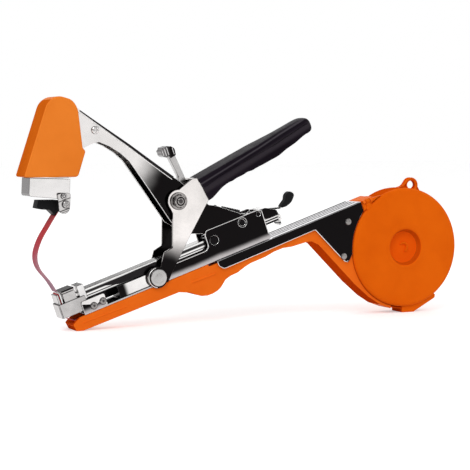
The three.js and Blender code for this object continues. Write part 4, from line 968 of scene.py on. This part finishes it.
RIVET = [(0, 0), (0.8, 0.03), (1.5, 0.14), (2.05, 0.33), (2.38, 0.55), (2.5, 0.8), (1.2, 0.8), (1.2, 1.9),
         (0, 1.9)]
SCREW = [(0, 0), (0.6, 0.0), (1.0, 0.02), (1.35, 0.06), (1.7, 0.16), (2.1, 0.34), (2.45, 0.62), (2.6, 1.0),
         (2.6, 1.3), (1.2, 1.3), (1.2, 2.3), (0, 2.3)]
PIN_HEAD = [(0, 0), (0.62, 0.0), (1.2, 0.03), (1.7, 0.12), (2.0, 0.3), (2.08, 0.78), (1.2, 0.78), (1.2, 1.7),
            (0, 1.7)]
# Each fastener's spans are rings of painted shade.
for where in ("near_1", "near_2", "far_1", "far_2"):
    fastener("bracket_rivet_" + where, RIVET, [(0, 0.6), (2.1, 2.6)])
    fastener("spine_rivet_" + where, RIVET, [(2.0, 2.6)])
fastener("arm_screw", SCREW, [(2.3, 2.55)], 0.9, link_plate)
fastener("catch_screw", SCREW, [(2.05, 2.7)], 0.9, cast_plate)
fastener("catch_pin", PIN_HEAD, [(0.62, 1.2), (1.7, 2.1)], 0.0, cast_plate)

link_centre, link_near, link_far = centre_of("link_pin")
LINK_HEAD = [(0, 0.1), (2.6, 0.1), (3.0, 0.16), (3.5, 0.08), (5.1, 0.02), (5.5, 0.12), (5.8, 0.45),
             (5.8, 1.3), (1.5, 1.3)]
pin_profile = [(r, link_near + y) for r, y in LINK_HEAD] + [(r, link_far - y) for r, y in LINK_HEAD[::-1]]
link_pin = piece("link_pin_turned", [dial(link_centre, pin_profile, upright)], cast_plate, "handle",
                 ("link_pin",), 40)
ringed(link_pin, link_centre, [(5.62, 5.72)])
# A bright wire arc at the left of the link pin's head: painted highlight.
glint_arc = circle(link_centre, 6.5, 40, 105, 265)
piece("pin_glint_arc", wires(glint_arc, 9.85, 0.36, upright), edge_wear_and_glint, "handle", (), 60)
# A dark wire arc at the left of the link's eye: painted shade.
eye = circle(link_centre, 6.7, 30, 120, 240)
piece("link_eye_shade", wires(eye, 7.1, 0.24, upright), edge_dark, "link", (), 60)

bolt_centre, bolt_near, bolt_far = centre_of("pivot_bolt")
HEX_RADIUS = 4.7
shank = [(0, bolt_near + 0.1), (1.5, bolt_near + 0.05), (2.1, bolt_near + 0.2), (2.5, bolt_near + 0.7)]
shank += [(2.5 - 0.12 * (k % 2), bolt_near + 0.8 + 0.22 * k) for k in range(14)]
shank += [(2.5, bolt_near + 4.2), (2.5, bolt_far - 2.0), (0, bolt_far - 2.0)]
bolt_head = prism(bolt_centre, HEX_RADIUS, bolt_far - 2.6, bolt_far, upright, chamfer=0.55)
bolt = piece("pivot_bolt_turned", [dial(bolt_centre, shank, upright), bolt_head], turned_plate, "arm",
             ("pivot_bolt",), 40)
ringed(bolt, bolt_centre, [(0.9, 1.5), (2.1, 2.6)])
nut_centre, nut_near, nut_far = centre_of("pivot_nut")
nut_shell = prism(nut_centre, HEX_RADIUS, nut_near, nut_far, upright, chamfer=0.6, bore=2.62)
nut = piece("pivot_nut_turned", [nut_shell], turned_plate, "arm", ("pivot_nut",), 35)
ringed(nut, nut_centre, [(2.5, 3.0), (4.0, 4.8)])


PAD_HALF, PAD_STEPS = 4.2, 120
PAD_TOP = [(-38.5, 79.6), (-38.8, 81.6), (-37.6, 83.3), (-35.6, 84.1), (-32.8, 83.6), (-31.2, 83.0)]
PAD_FOOT = [(-29.3, 81.4), (-28.9, 80.0), (-29.4, 76.4), (-33.3, 75.6), (-34.4, 77.2), (-36.6, 77.2),
            (-38.0, 78.1)]
PAD_BARS = [(-37.8, 78.8, 82.4), (-36.0, 78.0, 83.2), (-34.2, 78.0, 83.4), (-30.4, 77.2, 82.0)]


def lock_pad():
    """The thumb pad: a thick wedge in the side view, whose top is cut into ridges that run across."""
    top = smooth_line(PAD_TOP, PAD_STEPS)
    ripple = (0.5 * np.abs((np.linspace(0, 1, PAD_STEPS) * 8) % 2 - 1) - 0.25)[:, None]
    top = top + ripple * normals(top)
    return slab(np.vstack([top, PAD_FOOT]), -PAD_HALF, PAD_HALF, 0.16, jaw, 3)


piece("lock_pad", [lock_pad()], pad_plate, "lock", ("lock_tab",), 35)
bars = []
for s, low, high in PAD_BARS:
    spots = [(s, low, 0.15), (s, low + 0.3, 0.3), (s, high - 0.3, 0.3), (s, high, 0.15)]
    bars += [bead(spots, side * PAD_HALF, 8) for side in SIDES]
piece("lock_pad_bars", bars, bright_plate, "lock", (), 60)

# Camera, light and floor

IMAGE, FOCAL_PIXELS, SENSOR = 470, 1468, 36
AIM = Vector((-0.01045, 0, 0.05856))
AZIMUTH, ELEVATION, DISTANCE = math.radians(-25), math.radians(3.75), 1.0
MIDDLE = Vector((0, 0, 0.06))
FLOOR = 6

camera_data = bpy.data.cameras.new("camera")
camera_data.sensor_width = SENSOR
camera_data.lens = SENSOR * FOCAL_PIXELS / IMAGE
camera_data.clip_end = 100
camera = added("camera", camera_data)
camera.location = AIM + DISTANCE * Vector((
    math.sin(AZIMUTH) * math.cos(ELEVATION), -math.cos(AZIMUTH) * math.cos(ELEVATION), math.sin(ELEVATION)))
camera.rotation_euler = (AIM - camera.location).to_track_quat("-Z", "Y").to_euler()
scene = bpy.context.scene
scene.camera = camera
scene.view_settings.view_transform = "Standard"


def lamp(name, place, power, size):
    """A square soft lamp that looks at the middle of the tool."""
    data = bpy.data.lights.new(name, "AREA")
    data.energy, data.size = power, size
    obj = added(name, data)
    obj.location = place
    obj.rotation_euler = (MIDDLE - obj.location).to_track_quat("-Z", "Y").to_euler()


lamp("key_lamp", (-0.9, -1.0, 1.3), 9, 0.8)
lamp("fill_lamp", (1.3, -0.9, 0.8), 2.5, 1.2)
lamp("back_lamp", (0.3, 1.3, 1.0), 2, 1.0)

world = bpy.data.worlds.new("studio")
scene.world = world
world.use_nodes = True
tree = world.node_tree
background = tree.nodes["Background"]
path = node(tree, "ShaderNodeLightPath")
direction = node(tree, "ShaderNodeTexCoord").outputs["Generated"]
upward = node(tree, "ShaderNodeSeparateXYZ", inputs={0: direction}).outputs["Z"]
rise = between(tree, upward, -0.1, 0.75, 0.42, 0.72)
room = node(tree, "ShaderNodeCombineColor", inputs={0: rise, 1: rise, 2: rise}).outputs[0]
sheen = between(tree, noise(tree, direction, 2.6, 1), 0.40, 0.60, 0.22, 1.0, "SMOOTHSTEP")
screened = node(tree, "ShaderNodeCombineColor", inputs={0: sheen, 1: sheen, 2: sheen}).outputs[0]
room = blended(tree, path.outputs["Is Glossy Ray"], room, screened)
tree.links.new(blended(tree, path.outputs["Is Camera Ray"], room, (1, 1, 1)), background.inputs["Color"])
background.inputs["Strength"].default_value = 1.0

floor_mesh = bpy.data.meshes.new("floor")
corners = [(-FLOOR, -FLOOR, 0), (FLOOR, -FLOOR, 0), (FLOOR, FLOOR, 0), (-FLOOR, FLOOR, 0)]
floor_mesh.from_pydata(corners, [], [(0, 1, 2, 3)])
floor = added("floor", floor_mesh)
floor_material, tree, shader, place = start_finish(
    "floor_paper", Base_Color=(0.86, 0.86, 0.86, 1), Roughness=0.9, Emission_Color=(1, 1, 1, 1))
path = node(tree, "ShaderNodeLightPath")
seen = maths(tree, "MAXIMUM", path.outputs["Is Camera Ray"], path.outputs["Is Glossy Ray"])
tree.links.new(maths(tree, "MULTIPLY", seen, 0.42), shader.inputs["Emission Strength"])
floor_mesh.materials.append(floor_material)
